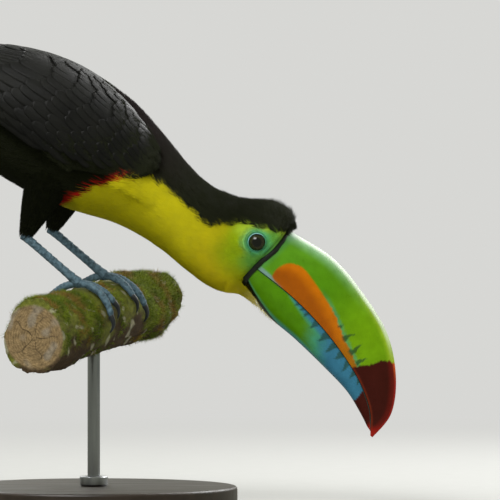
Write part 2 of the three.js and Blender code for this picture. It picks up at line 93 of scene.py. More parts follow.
# The bill, in the head's frame, where f runs ahead from the rim and u up across the bill. Stations:
# culmen, cutting edge and lower edge, each [f, u], then the half-widths of the two mandibles.
BILL_ORIGIN = np.array([109.6, 0.0, 162.1])
BILL_PITCH = np.radians(45.5)
BILL = [
    [2.6, 22.6, 2.6, -9.8, 2.6, -22.6, 18.6, 17.4],
    [32.3, 29.4, 31, -6.4, 28.5, -26, 17.6, 16.4],
    [62.3, 27.2, 57.5, -6.4, 52, -24.2, 15.6, 14.2],
    [91, 20.3, 81, -9.2, 77, -23.5, 12.8, 11.4],
    [114.3, 5.2, 101, -14, 98.5, -23.9, 9.4, 8.2],
    [129.2, -13.6, 118.2, -22, 114.5, -27.4, 5.4, 4.6],
    [131.7, -33, 130, -33.2, 126.3, -31.2, 0.7, 0.7],
]
UPPER_ENDS, LOWER_ENDS = 6, 5.72  # stations at the mandibles' tips
UPPER_POWER, LOWER_POWER = 1.9, 2.3  # of the mandibles' ovals
BILL_RUNS_BACK = 3.6  # under the black band
GAP = 0.35  # between pieces that meet

EYE_CENTRE = np.array([104.4, 16.6, 169.9])  # of the left eye
EYE_RADIUS = 6.4

TAIL_ROOT = np.array([-98.0, 0.0, 279.0])
TAIL_RISE = np.radians(7.5)
TAIL_PAIRS = 5
TAIL_LENGTH = 160.0
TAIL_STEP = 7.5
TAIL_DROP = 1.0
TAIL_SIDE_DROP = 0.45
TAIL_SPREAD = np.radians(2.3)
TAIL_FEATHER_WIDTH = 25.0

PERCH_CENTRE = np.array([0.0, 0.0, 121.0])
PERCH_RADIUS = 22.0
PERCH_LENGTH = 170.0
PERCH_YAW = np.radians(24)
PERCH_RISE = np.radians(7)

FOOT_SPACING = 19.0
ANKLE_BACK = 34.0
ANKLE_HEIGHT = 176.0
HIP_AHEAD = 17.0  # of the ankle, deep in the belly's feathers
HIP_ABOVE = 42.0
HIP_APART = 0.85  # as a share of the ankles' distance apart
THIGH_RADII = (15.5, 4.0)  # at the hip and the ankle
THIGH_TAPER = 1.35
TARSUS_RADIUS = 2.7
TOE_RADIUS = 2.6
TOE_LIFT = PERCH_RADIUS + GAP + TOE_RADIUS  # of a toe's middle over the perch's
# Toes: length along the perch's skin, ahead positive, how far the tip strays outward, and plates.
TOES = {
    "inner_front": (27, -5, 13),
    "outer_front": (35, 6, 13),
    "outer_rear": (-31, 6, 13),
    "inner_rear": (-21, -5, 9),
}
CLAW_LENGTH = 10.0
CLAW_INSIDE = 1.2  # how far a claw starts inside its toe

# The ridge of feathers under the bill, along f, and its [f, half-width, depth].
CHIN_RUNS = (-9.0, 34.0)
CHIN = [[-9, 16.6, 12.5], [-3, 15.8, 11.6], [0, 15.0, 9.8], [3, 13.8, 8.1], [6.7, 11.8, 5.8],
        [10, 9.8, 4.6], [13.5, 7.9, 3.5], [20, 5.2, 2.5], [34, 2.6, 1.3]]
CHIN_FILLET = 2.2
FOREHEAD_RUNS = (-10.0, 3.0)

# ---------------- numbers


def between(rows, t):
    """Catmull-Rom interpolation between rows at stations t, and straight on past the ends."""
    rows = np.asarray(rows, float)
    t = np.asarray(t, float)
    last = len(rows) - 1
    inside = np.clip(t, 0, last)
    i = np.minimum(inside.astype(int), last - 1)
    w = (inside - i)[..., None]
    a, b, c, d = (rows[np.clip(i + k, 0, last)] for k in (-1, 0, 1, 2))
    on_curve = b + 0.5 * w * (c - a + w * (2 * a - 5 * b + 4 * c - d + w * (3 * (b - c) + d - a)))
    slope = np.where(t[..., None] < 0, rows[1] - rows[0], rows[-1] - rows[-2])
    return on_curve + (t - inside)[..., None] * slope


def smooth(x, low, high):
    """0 at low, 1 at high, with a smooth step between. high may be the smaller."""
    s = np.clip((x - low) / (high - low), 0, 1)
    return s * s * (3 - 2 * s)


def curve(points, x):
    return np.interp(x, *np.transpose(points))


def eased(points, x, spread):
    """The broken line through points with its corners rounded over spread to each side."""
    return np.mean([curve(points, x + spread * k) for k in np.linspace(-1, 1, 9)], axis=0)


def waver(points, size, seed):
    """A smooth random field in about -1 to 1 that changes over about size millimetres."""
    waves = np.random.default_rng(seed)
    pitch = waves.normal(size=(8, 3)) * 2.4 / size
    return np.sin(points @ pitch.T + waves.uniform(0, WHOLE_TURN, 8)).sum(-1) / 3


def turns(count):
    """Angles evenly round a whole turn."""
    return np.linspace(0, WHOLE_TURN, count, endpoint=False)


def bowed(x, power):
    """x raised to power, with its sign kept."""
    return np.sign(x) * np.abs(x) ** power


def grid(a, b):
    return np.meshgrid(a, b, indexing="ij")


def unit(v):
    return v / np.linalg.norm(v, axis=-1, keepdims=True)


def srgb(code):
    """A colour such as #8a9a20 as linear red, green and blue."""
    c = np.array([int(code[i : i + 2], 16) for i in (1, 3, 5)]) / 255
    return np.where(c <= 0.04045, c / 12.92, ((c + 0.055) / 1.055) ** 2.4)


def layered(colour, *layers):
    """colour painted over with each layer's colour in turn, as far as its share goes."""
    for over, share in layers:
        colour = colour + (over - colour) * np.asarray(share)[..., None]
    return colour


# ---------------- forms


def oval(row, turn, grow=0.0):
    """The point at angle turn from the top, towards +Y, of the ovals given by rows of stations."""
    top, low = row[..., 0:2], row[..., 2:4]
    tall = np.linalg.norm(top - low, axis=-1) / 2
    up = (top - low) / (2 * tall)[..., None]
    middle = (top + low) / 2 + up * ((tall + grow) * np.cos(turn))[..., None]
    return np.stack([middle[..., 0], (row[..., 4] + grow) * np.sin(turn), middle[..., 1]], -1)


def degrees_down(turn):
    """Degrees from the top of the body, 0 to 180, on either side."""
    return np.degrees(np.abs((turn + np.pi) % WHOLE_TURN - np.pi))


def body(t, turn, grow=0.0):
    along = np.clip((t - MANTLE_STARTS) / (MANTLE_ENDS - MANTLE_STARTS), 0, 1)
    mantle = MANTLE_RISE * np.sin(np.pi * along) * smooth(degrees_down(turn), MANTLE_SPREAD, 0)
    return oval(between(BODY, t), turn, grow + mantle)


BILL_COS, BILL_SIN = np.cos(BILL_PITCH), np.sin(BILL_PITCH)


def from_head(f, y, u):
    x, z = f * BILL_COS + u * BILL_SIN, u * BILL_COS - f * BILL_SIN
    return BILL_ORIGIN + np.stack([x, y + 0 * f, z], -1)


def to_head(points):
    """f and u of points, along and across the bill."""
    x, z = points[..., 0] - BILL_ORIGIN[0], points[..., 2] - BILL_ORIGIN[2]
    return x * BILL_COS - z * BILL_SIN, x * BILL_SIN + z * BILL_COS


def eye_distance(points):
    """How far points lie from the eye's centre, seen from the side."""
    return np.hypot(points[..., 0] - EYE_CENTRE[0], points[..., 2] - EYE_CENTRE[2])


PERCH_AXIS = np.array([np.sin(PERCH_YAW), np.cos(PERCH_YAW), 0]) * np.cos(PERCH_RISE)
PERCH_AXIS[2] = np.sin(PERCH_RISE)
PERCH_UP = unit(np.array([0, 0, 1.0]) - PERCH_AXIS * PERCH_AXIS[2])
PERCH_AHEAD = np.cross(PERCH_AXIS, PERCH_UP)


def on_perch(along, turn, radius):
    along, turn, radius = (np.asarray(v, float)[..., None] for v in (along, turn, radius))
    spoke = PERCH_UP * radius * np.cos(turn) + PERCH_AHEAD * radius * np.sin(turn)
    return PERCH_CENTRE + PERCH_AXIS * along + spoke


def foot_root(side):
    return on_perch(side * FOOT_SPACING, 0, TOE_LIFT + 0.6)


def ankle_point(side):
    x, y, _ = foot_root(side)
    return np.array([x - ANKLE_BACK, y * 0.95, ANKLE_HEIGHT + PERCH_AXIS[2] * y])


def thigh(side):
    """The form of a feathered thigh: a function of share from hip to ankle, turn and grow."""
    ankle = ankle_point(side)
    hip = ankle * [1, HIP_APART, 1] + [HIP_AHEAD, 0, HIP_ABOVE]
    ahead = unit(ankle - hip)
    across = unit(np.array([0, 1.0, 0]) - ahead * ahead[1])
    up = np.cross(across, ahead)

    def surface(share, turn, grow=0.0):
        high, low = THIGH_RADII
        radius = (high + (low - high) * np.clip(share, 0, 1.12) ** THIGH_TAPER + grow)[..., None]
        spoke = across * np.cos(turn)[..., None] + up * np.sin(turn)[..., None]
        return hip + (ankle - hip) * share[..., None] + radius * spoke

    return surface


def under_bill(share, turn, grow=0.0):
    """The ridge of feathers that carries the throat on under the lower mandible.

    turn is 0 at the bottom; the ridge is nearly flat on top.
    """
    f = CHIN_RUNS[0] + (CHIN_RUNS[1] - CHIN_RUNS[0]) * share
    edge = np.interp(f, [-14, 3, 28, 52], [-20.0, -22.6, -26.0, -24.2])
    edge = edge + np.interp(f, [0, 8, 20], [-0.9, -0.3, 0.6])
    fs, halves, depths = np.transpose(CHIN)
    half, low = (np.maximum(np.interp(f, fs, a) + grow, 0.3) for a in (halves, depths))
    low = np.where(np.cos(turn) > 0, low, 0.7)
    return from_head(f, half * np.sin(turn), edge - low * np.cos(turn))


def chin():
    """The ridge under the bill where it runs smoothly into the throat, as a form for coat."""
    shares, angles = np.linspace(0, 1, 80), np.linspace(-1.7, 1.7, 70)
    share, turn = grid(shares, angles)
    points = under_bill(share, turn)
    throat = search_tree(body(*grid(np.linspace(0, 4, 81), turns(90))))
    inside = Vector(from_head(-8.0, 0.0, -8.0))
    # Its rear and upper edges start under the throat's coat.
    upper_edge = smooth(np.abs(turn), 1.0, 1.5) * smooth(share, 0.35, 0.1)
    tuck = 0.9 * np.maximum(smooth(share, 0.25, 0), upper_edge)
    for spot in np.ndindex(share.shape):
        near, normal, _, _ = throat.find_nearest(Vector(points[spot]))
        normal = normal if normal.dot(near - inside) > 0 else -normal
        over = (Vector(points[spot]) - near).dot(normal)
        raised = CHIN_FILLET * np.logaddexp(0, -over / CHIN_FILLET)
        points[spot] += np.array(normal) * (raised - tuck[spot])
    slope = np.cross(np.gradient(points, axis=1), np.gradient(points, axis=0))
    out = np.sum(slope * (points - under_bill(share, turn, -6.0)), -1, keepdims=True)
    known = np.concatenate([points, unit(slope * np.sign(out))], -1)
    middle = len(angles) // 2
    whole_run = known[-1, middle, :3] - known[0, middle, :3]

    def surface(share, turn, grow=0.0):
        a = np.clip(share, 0, 1 - 1e-6) * (len(shares) - 1)
        b = np.clip((turn - angles[0]) / (angles[-1] - angles[0]), 0, 1 - 1e-6) * (len(angles) - 1)
        i, j = a.astype(int), b.astype(int)
        a, b = (a - i)[..., None], (b - j)[..., None]
        here, beside = (known[i, k] * (1 - a) + known[i + 1, k] * a for k in (j, j + 1))
        here = here * (1 - b) + beside * b
        beyond = (share - np.clip(share, 0, 1))[..., None] * whole_run
        grow = np.broadcast_to(grow, share.shape)[..., None]
        return here[..., :3] + here[..., 3:] * grow + beyond

    return surface


def forehead(share, turn, grow=0.0):
    """The lobe of bristly feathers that leans ahead over the bill's rim. turn is 0 on top."""
    f = FOREHEAD_RUNS[0] + (FOREHEAD_RUNS[1] - FOREHEAD_RUNS[0]) * share
    top = np.interp(f, [-10, -5, -2.5, 0, 1.5, 3], [29.4, 29.2, 28.6, 27.6, 26.6, 25.2]) + grow
    half = np.interp(f, [-10, 0, 3], [16.0, 13.0, 11.0]) + grow
    return from_head(f, half * np.sin(turn), 17 + (top - 17) * np.cos(turn))


# ---------------- meshes


def loft(rings):
    """Points and triangles of a closed solid through rings, an array (rings, sides, 3)."""
    count, sides, _ = rings.shape
    points = np.concatenate([rings.reshape(-1, 3), rings[:1].mean(1), rings[-1:].mean(1)])
    here = np.arange(sides)
    beside = (here + 1) % sides
    start = np.arange(count - 1)[:, None] * sides
    a, b = (start + here).ravel(), (start + beside).ravel()
    first, last = np.full(sides, count * sides), np.full(sides, count * sides + 1)
    end = (count - 1) * sides
    corners = ([a, b, b + sides], [a, b + sides, a + sides], [first, beside, here],
               [last, end + here, end + beside])
    return points, outward(points, np.concatenate([np.stack(c, -1) for c in corners]))


def on_loft(values):
    """Values given for each ring and side, in the order of loft's points."""
    flat = values.reshape(-1, *values.shape[2:])
    return np.concatenate([flat, values[:1].mean(1), values[-1:].mean(1)])


def wound(rings):
    """Points and triangles of a solid whose last ring runs on into its first, as in a torus."""
    a = np.arange(rings[..., 0].size).reshape(rings.shape[:2])
    b, d = np.roll(a, -1, 1), np.roll(a, -1, 0)
    c = np.roll(b, -1, 0)
    points = rings.reshape(-1, 3)
    return points, outward(points, np.stack([a, b, c, a, c, d], -1).reshape(-1, 3))


def outward(points, faces):
    """The same closed faces, turned so that they point out."""
    a, b, c = (points[faces[:, k]] for k in range(3))
    return faces if np.einsum("ij,ij->", a, np.cross(b, c)) > 0 else faces[:, ::-1]


def search_tree(rings):
    """A solid through rings, ready for rays and nearest points."""
    points, faces = loft(rings)
    return BVHTree.FromPolygons([*map(Vector, points)], faces.tolist())


def joined(pieces):
    """One set of points, faces and any further per-point arrays from several."""
    starts = np.cumsum([0] + [len(p[0]) for p in pieces[:-1]])
    points, faces, *more = zip(*pieces)
    faces = np.concatenate([f + start for f, start in zip(faces, starts)])
    return [np.concatenate(points), faces, *map(np.concatenate, more)]


def placed(name, data):
    """A new object in the scene."""
    thing = bpy.data.objects.new(name, data)
    bpy.context.scene.collection.objects.link(thing)
    return thing


def add_piece(name, points, faces, look, slot, replaces=(), paint=None, bake=None, barb=None,
              crease=None):
    """A smooth mesh of triangles that rides on the root body.

    paint is a colour for each point, bake its OFBake place, and barb how far along its barbs it
    lies on a vane. Edges bent by more than crease degrees stay sharp.
    """
    mesh = bpy.data.meshes.new(name)
    mesh.vertices.add(len(points))
    mesh.vertices.foreach_set("co", (points * MM).astype(np.float32).ravel())
    mesh.loops.add(faces.size)
    mesh.loops.foreach_set("vertex_index", faces.astype(np.int32).ravel())
    mesh.polygons.add(len(faces))
    mesh.polygons.foreach_set("loop_start", np.arange(0, faces.size, 3, dtype=np.int32))
    mesh.update(calc_edges=True)
    mesh.shade_smooth()
    if bake is not None:
        layer = mesh.uv_layers.new(name="OFBake")
        layer.data.foreach_set("uv", bake[faces].astype(np.float32).ravel())
    if barb is not None:
        layer = mesh.attributes.new("barb", "FLOAT", "POINT")
        layer.data.foreach_set("value", barb.astype(np.float32))
    if crease is not None:
        mesh.set_sharp_from_angle(angle=np.radians(crease))
    mesh.materials.append(look)
    piece = placed(name, mesh)
    if paint is not None:
        set_paint(piece, paint)
    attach(piece, "root")
    if replaces:
        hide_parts(*replaces)
    return piece


def set_paint(piece, paint):
    colours = np.concatenate([np.clip(paint, 0, 1), np.ones((len(paint), 1))], 1)
    layer = piece.data.color_attributes.new("paint", "FLOAT_COLOR", "POINT")
    layer.data.foreach_set("color", colours.astype(np.float32).ravel())


# ---------------- finishes


def feed(node, inputs):
    """Sets a shader node's inputs, by name or number, to values or to other nodes' outputs."""
    for key, value in dict(inputs).items():
        if isinstance(value, bpy.types.NodeSocket):
            node.id_data.links.new(value, node.inputs[key])
        else:
            node.inputs[key].default_value = value


def node_maker(tree):
    """A function that adds a shader node to tree and returns its output out."""

    def add(kind, inputs=(), out=0, **settings):
        node = tree.nodes.new("ShaderNode" + kind)
        for key, value in settings.items():
            setattr(node, key, value)
        feed(node, inputs)
        return node.outputs[out]

    return add


def new_material(name):
    """A material, its shader and the maker of its nodes."""
    look = bpy.data.materials.new(name)
    look.use_nodes = True
    return look, look.node_tree.nodes["Principled BSDF"], node_maker(look.node_tree)


def finish(name, mottle, grain, height, rough, colours=None, depth=0.2, cells=False, barbs=0.0,
           stretch=(1, 1, 1), **sockets):
    """A procedural finish.

    It takes the mesh's paint, or runs between two colours. mottle is the size of its patches and
    depth how much they change its brightness; grain is the size of its relief and height the
    relief's depth, as cells or as noise, or in lines barbs apart on a vane. Sizes are in
    millimetres. rough is the range of its roughness.
    """
    look, shader, add = new_material(name)
    feed(shader, {socket.replace("_", " "): value for socket, value in sockets.items()})

    place = add("TexCoord", out="Object")
    place = add("Mapping", {"Vector": place, "Scale": [s / MM for s in stretch]})

    def texture(kind, size, out=0, **more):
        return add(kind, {"Vector": place, "Scale": 1 / size, **more}, out)

    def ranged(*ends):
        return add("MapRange", dict(enumerate((patches, *ends))))

    patches = texture("TexNoise", mottle, Detail=4.0)
    if barbs:
        along = add("Attribute", out="Fac", attribute_name="barb")
        lines = add("Math", {0: along, 1: WHOLE_TURN / barbs}, operation="MULTIPLY")
        lines = add("Math", {0: lines}, operation="SINE")
        fine = texture("TexNoise", grain)
        relief = add("Math", {0: lines, 1: 0.35, 2: fine}, operation="MULTIPLY_ADD")
    elif cells:
        relief = texture("TexVoronoi", grain, "Distance")
    else:
        relief = texture("TexNoise", grain, Detail=6.0)

    if colours is None:
        base = add("Attribute", out="Color", attribute_name="paint")
        grey = ranged(0.3, 0.7, 1 - depth, 1 + depth)
        colour = add("VectorMath", {0: base, 1: grey}, operation="MULTIPLY")
    else:
        dark, light = ([*srgb(c), 1.0] for c in colours)
        colour = {0: ranged(0.35, 0.65), 6: dark, 7: light}
        colour = add("Mix", colour, 2, data_type="RGBA")
    bump = add("Bump", {"Height": relief, "Distance": height * MM, "Strength": 1.0})
    feed(shader, {"Base Color": colour, "Roughness": ranged(0.3, 0.7, *rough), "Normal": bump})
    return look


DULL = {"Specular_IOR_Level": 0.12}
SKIN = finish("skin", 5, 0.7, 0.2, (0.55, 0.7), depth=0.08, **DULL)
COAT = finish("plumage", 7, 0.4, 0.05, (0.55, 0.75), depth=0.07, **DULL)
VANE = finish("vane", 14, 2.0, 0.05, (0.45, 0.6), ("#0b0b0a", "#12120f"), barbs=0.8,
              Specular_IOR_Level=0.15)
BILL_HORN = finish("bill_horn", 7, 2.4, 0.07, (0.26, 0.44), depth=0.11, Specular_IOR_Level=0.08,
                   Coat_Weight=0.04, Coat_Roughness=0.2)
RIM_HORN = finish("rim_horn", 3, 1.2, 0.12, (0.25, 0.4), Specular_IOR_Level=0.4)
EYE = finish("wet_eye", 0.8, 1.0, 0.0, (0.02, 0.05), depth=0.15, Specular_IOR_Level=0.4)
LIDS = finish("lid_skin", 1.5, 0.5, 0.08, (0.5, 0.65), depth=0.12, Specular_IOR_Level=0.2)
LEG = finish("leg_scales", 2.2, 0.8, 0.18, (0.45, 0.65), ("#36474f", "#566c77"), cells=True, **DULL)
CLAW = finish("claw_horn", 4, 0.6, 0.04, (0.25, 0.4), ("#131416", "#2a2d30"), stretch=(1, 1, 0.3))
BARK = finish("bark", 2.5, 0.9, 0.5, (0.75, 0.95), depth=0.35, **DULL)
MOSS = finish("moss", 2.0, 0.5, 0.1, (0.8, 0.95), depth=0.3, **DULL)
STAND_WOOD = finish("stand_wood", 6, 1.4, 0.08, (0.35, 0.5), ("#1e150e", "#2b2017"),
                    stretch=(0.12, 1, 1))
STEEL = finish("brushed_steel", 5, 0.4, 0.03, (0.28, 0.4), ("#8d8f92", "#a9abad"),
               stretch=(1, 1, 0.08), Metallic=1.0)

# ---------------- markings

THROAT = srgb("#ccbd14")
# Painted shade: the neck's yellow, about a sixth darker than the throat's.
NECK_PAINTED_SHADE = srgb("#bcb30e")
CHEEK = srgb("#aeae12")
LIME = srgb("#a0b90c")
LIME_ABOVE = srgb("#bcd83e")
LIME_BELOW = srgb("#8ca40a")
LORES = srgb("#5c9436")
TURQUOISE = srgb("#58aa68")
TURQUOISE_LOW = srgb("#377a42")
TURQUOISE_DARK = srgb("#377a55")
# Painted highlight: the pale blue on the lid's edge, strongest on its upper rear side.
LID_PAINTED_HIGHLIGHT = srgb("#94c6d4")
LID_FOLD = srgb("#27504a")
LID_EDGE = srgb("#0c110d")
PALE_BRISTLE = srgb("#d8cc80")
BLACK = srgb("#181b0a")
MANTLE = srgb("#18110f")
CRIMSON = srgb("#a5170f")
SNOW = srgb("#e4e0d2")

# Degrees from the top at which the black cap and nape end, by station.
CAP_EDGE = [[0.0, 34], [0.3, 44], [0.6, 49.5], [1.2, 59.5], [1.6, 61.5], [2.1, 64], [2.5, 67],
            [2.8, 76], [3.1, 82], [3.3, 82], [3.65, 77], [4.3, 75], [5.0, 80]]
# Stations at which the yellow bib ends on the breast, by degrees from the top.
BIB_EDGE = [[75, 4.7], [90, 5.05], [120, 5.55], [150, 5.85], [180, 5.95]]
BREAST_BAND = 0.12  # stations of red below the bib
RUMP_STARTS = 9.35


def face_paint(points):
    """Yellow cheek, lime and turquoise round the eye, green between the eye and the bill."""
    f, u = to_head(points)
    eye_f, eye_u = to_head(EYE_CENTRE)
    eye = eye_distance(points) + 0.4 * waver(points, 4, 3)
    ahead, above = (f - eye_f) / eye, (u - eye_u) / eye
    near = np.minimum(eye, 1.25 * np.hypot(f - 0.5, u + 5) + 6)
    ring = layered(TURQUOISE, (TURQUOISE_LOW, smooth(0.6 * above - ahead, 0.4, -0.9)))
    return layered(
        THROAT,
        (CHEEK, smooth(eye, 34, 19) * 0.8),
        (LIME, smooth(near, 22, 12)),
        (LIME_BELOW, smooth(near, 34, 14) * smooth(above - 0.6 * ahead, 0, -0.9)),
        (LIME_ABOVE, smooth(eye, 18, 11) * smooth(above - ahead, 0.2, 1.2) * 0.85),
        (LORES, smooth(near, 24, 12) * smooth(ahead, -0.2, 0.5)),
        (ring, smooth(eye - 0.7 * ahead, 11.2, 6.6)),
    )


def cap_share(t, turn, points):
    """1 on the black cap, nape and everything behind the bib, 0 on the yellow."""
    down = degrees_down(turn)
    edge = curve(CAP_EDGE, t) + 2.2 * waver(points, 3, 5)
    bib_ends = curve(BIB_EDGE, down)
    behind = smooth(t + 0.05 * waver(points, 4, 6), bib_ends, bib_ends + 0.04)
    return np.maximum(smooth(down, edge + 1.3, edge - 1.3), behind)


def plumage_paint(t, turn, points):
    """The colours of skin and coat together."""
    down = degrees_down(turn)
    ragged = t + 0.05 * waver(points, 4, 6)
    bib_ends = curve(BIB_EDGE, down)
    red_ends = bib_ends + BREAST_BAND
    band = smooth(ragged, bib_ends, bib_ends + 0.03) * smooth(ragged, red_ends, red_ends - 0.03)
    rump = smooth(ragged, RUMP_STARTS, RUMP_STARTS + 0.1)
    black = layered(BLACK, (MANTLE, smooth(t, 3.5, 5.5) * smooth(down, 90, 50)))
    return layered(
        face_paint(points),
        # Behind the throat the yellow turns darker: painted shade.
        (NECK_PAINTED_SHADE, smooth(t, 2.0, 3.4)),
        (black, cap_share(t, turn, points)),
        (CRIMSON, band * smooth(down, 84, 96)),
        (SNOW, rump * smooth(down, 78, 70)),
        (CRIMSON, rump * smooth(down, 88, 96)),
    )


def black_paint(u, v, points):
    return np.broadcast_to(BLACK, points.shape)


def coat_depth(t, points):
    """How far the skin lies under the tips of the coat: nearly bare round the eye."""
    depth = np.interp(t, [0, 1, 2, 3.5, 5, 7, 9, 11], [0.7, 1.0, 1.5, 2.2, 2.8, 3.2, 2.8, 1.8])
    return 0.45 + depth * smooth(eye_distance(points) + 50 * np.clip(t - 3.2, 0, 1), 7, 19)


# ---------------- skin

SKIN_VOXEL, QUICK_VOXEL = 1.3, 2.0


def body_grid():
    """Stations and turns all over the body, and the coat's depth at each."""
    t, turn = grid(np.linspace(0, BODY_ENDS, 331), turns(180))
    return t, turn, coat_depth(t, body(t, turn))


def make_skin():
    """One skin for head, neck, trunk, rump and thighs, inside their solids by the coat's depth."""
    t, turn, depth = body_grid()
    eye = eye_distance(body(t, turn))
    # It dips under the bare ring round the eye, and deeper to make room for the eye.
    socket = 3.5 * smooth(eye, 9.4, 7.4) + 1.0 * smooth(eye, 13.2, 11.6)
    share, round_ = grid(np.linspace(0, 1, 40), turns(60))
    shells = [loft(body(t, turn, -depth - socket))]
    shells += [loft(thigh(side)(share, round_, -1.6)) for side in (-1, 1)]
    shells.append(loft(under_bill(0.55 * share, round_, -2.6)))
    skin = add_piece("skin", *joined(shells), SKIN, "face",
                     replaces=("head", "neck", "trunk", "rump", "thigh_left", "thigh_right"))
    remesh = skin.modifiers.new("remesh", "REMESH")
    remesh.mode = "VOXEL"
    remesh.voxel_size = SKIN_VOXEL * MM
    relax = skin.modifiers.new("relax", "SMOOTH")
    relax.iterations = 4
    relax.factor = 0.5
    rough = skin.data
    skin.data = bpy.data.meshes.new_from_object(
        skin.evaluated_get(bpy.context.evaluated_depsgraph_get()))
    skin.data.name = rough.name
    skin.modifiers.clear()
    bpy.data.meshes.remove(rough)
    skin.data.shade_smooth()

    points = np.empty(len(skin.data.vertices) * 3, np.float32)
    skin.data.vertices.foreach_get("co", points)
    points = points.reshape(-1, 3).astype(float) / MM
    t, turn = nearest_station(points)
    # The thighs stand out below the body and are black all over.
    below = np.linalg.norm(points - body(t, turn, -coat_depth(t, points)), axis=-1)
    black = smooth(below, 1.5, 3.0) * smooth(points[:, 0], 30, 20)
    set_paint(skin, layered(plumage_paint(t, turn, points), (BLACK, black)))


def nearest_station(points):
    """The body's station and turn nearest to each point."""
    t, turn = (a.ravel() for a in np.meshgrid(np.linspace(0, BODY_ENDS, 265), turns(144)))
    tree = KDTree(len(t))
    for i, point in enumerate(body(t, turn, -1.5)):
        tree.insert(point, i)
    tree.balance()
    found = np.array([tree.find(point)[1] for point in points])
    return t[found], turn[found]


# ---------------- coat

CELLS = 260  # to each side of the grid that tufts are scattered over
BAKE_PATCH = 0.003  # width of a tuft's patch of OFBake
# Faces of a barb in two steps, and of a short one in one.
LONG_BARB = np.array([[0, 2, 1], [0, 1, 4], [0, 4, 3], [1, 2, 5], [1, 5, 4], [2, 0, 3], [2, 3, 5],
                      [3, 4, 6], [4, 5, 6], [5, 3, 6]])
SHORT_BARB = np.array([[0, 2, 1], [0, 1, 3], [1, 2, 3], [2, 0, 3]])


def metric(surface, u, v):
    """Millimetres per unit of u and of v on a form."""
    step = 0.01
    here = surface(u, v)
    moved = surface(u + step, v), surface(u, v + step)
    return [np.maximum(np.linalg.norm(m - here, axis=-1) / step, 1e-3) for m in moved]


def scatter(surface, u_range, v_range, count, weight):
    """Places spread evenly over a form, thinned by weight(u, v, points)."""
    u_cell, v_cell = ((high - low) / CELLS for low, high in (u_range, v_range))
    u = np.linspace(*u_range, CELLS, endpoint=False) + u_cell / 2
    v = np.linspace(*v_range, CELLS, endpoint=False) + v_cell / 2
    u, v = (a.ravel() for a in grid(u, v))
    along, across = metric(surface, u, v)
    sums = np.cumsum(along * across * weight(u, v, surface(u, v)))
    picks = np.searchsorted(sums, (np.arange(count) + rng.random(count)) / count * sums[-1])
    picks = np.minimum(picks, len(u) - 1)
    jitter = rng.random((2, count)) - 0.5
    return u[picks] + jitter[0] * u_cell, v[picks] + jitter[1] * v_cell


def tufts(surface, u, v, paint, u_range, v_range, *, length, width, splay, sink, stand, barbs=3,
          lift=1.0, swirl=0.1, tones=(0.78, 1.0, 1.12), short=True):
    """Thin closed tapering barbs in fans, rooted in the skin and lying along the form.

    Each tuft at (u, v) has so many barbs, from splay[0] apart at its root to splay[1] at its tip.
    Roots are sink under the coat's surface and tips stand above it; lift bends them, and swirl is
    how far they stray from the lie, in radians. tones are the brightness of root, middle and tip:
    a painted shade, darker at the roots where the tufts lie under one another and lighter at the
    tips.
    """
    count = len(u)
    along, across = (a[:, None] for a in metric(surface, u, v))
    length, width, sink, stand, swirl = (
        np.broadcast_to(a, count)[:, None] for a in (length, width, sink, stand, swirl))
    rank = np.linspace(-0.5, 0.5, barbs)[None]
    size = length * (0.8 + 0.35 * rng.random((count, barbs))) * (1 - 0.5 * np.abs(rank))
    stray = swirl * rng.normal(size=(count, 1)) + 0.5 * swirl * rng.normal(size=(count, barbs))
    spot = rng.normal(size=(count, barbs)) * 0.15 * splay[0]
    high = stand * (0.5 + rng.random((count, 1))) + 0.12 * stand * rng.normal(size=(count, barbs))
    rows = []
    for q, share in ((0, 1.0), (1, 0)) if short else ((0, 1.0), (0.5, 0.85), (1, 0)):
        forward = size * q * np.cos(stray)
        sideways = rank * (splay[0] + (splay[1] - splay[0]) * q) + spot + size * q * np.sin(stray)
        level = -sink + (sink + high) * q**lift
        half = width * share / 2
        corners = [(-half, 0), (half, 0), (0 * half, width * 0.35)] if q < 1 else [(0 * half, 0)]
        for side, ridge in corners:
            at_u = u[:, None] + (forward - side * np.sin(stray)) / along
            at_v = v[:, None] + (sideways + side * np.cos(stray)) / across
            rows.append(surface(at_u, at_v, level + ridge))
    points = np.stack(rows, 2).reshape(-1, 3)
    size = len(rows)
    faces = SHORT_BARB if short else LONG_BARB
    faces = (faces + size * np.arange(count * barbs)[:, None, None]).reshape(-1, 3)
    steps = (0, 0, 0, 2) if short else (0, 0, 0, 1, 1, 1, 2)
    # Each tuft's tone differs a little at random, and tones paint its roots darker and its tips
    # lighter: painted shade.
    shade = (1 + 0.16 * (rng.random((count, 1, 1)) - 0.5)) * np.take(tones, steps)
    shade = np.broadcast_to(shade, (count, barbs, size))[..., None]
    colours = (paint(u, v, surface(u, v))[:, None, None] * shade).reshape(-1, 3)
    root = np.stack([0.02 + 0.96 * (a - low) / (high - low)
                     for a, (low, high) in ((u, u_range), (v, v_range))], -1)
    patch = np.zeros((count, barbs, size, 2))
    patch[..., 0] = np.take([-0.5, 0.0, 0.5], steps)
    patch[..., 1] = 0.8 * rank[..., None] + np.resize([-0.1, 0.1, 0.0], size)
    bake = (root[:, None, None] + BAKE_PATCH * patch).reshape(-1, 2)
    return points, outward(points, faces), colours, bake


def coat(name, surface, u_range, v_range, count, slot="black_plumage", weight=lambda *place: 1.0,
         paint=plumage_paint, look=COAT, **style):
    """One coat piece: tufts scattered over part of a form. A style may be a function of u and v."""
    u, v = scatter(surface, u_range, v_range, count, weight)
    style = {key: value(u, v) if callable(value) else value for key, value in style.items()}
    points, faces, colours, bake = tufts(surface, u, v, paint, u_range, v_range, **style)
    add_piece(name, points, faces, look, slot, paint=colours, bake=bake)


def along(stations, values):
    """A measure of the coat that changes from station to station."""
    return lambda t, turn: np.interp(t, stations, values)


def varied(least, spread):
    """A measure of the coat that differs from tuft to tuft."""
    return lambda t, turn: least + spread * rng.random(len(t))


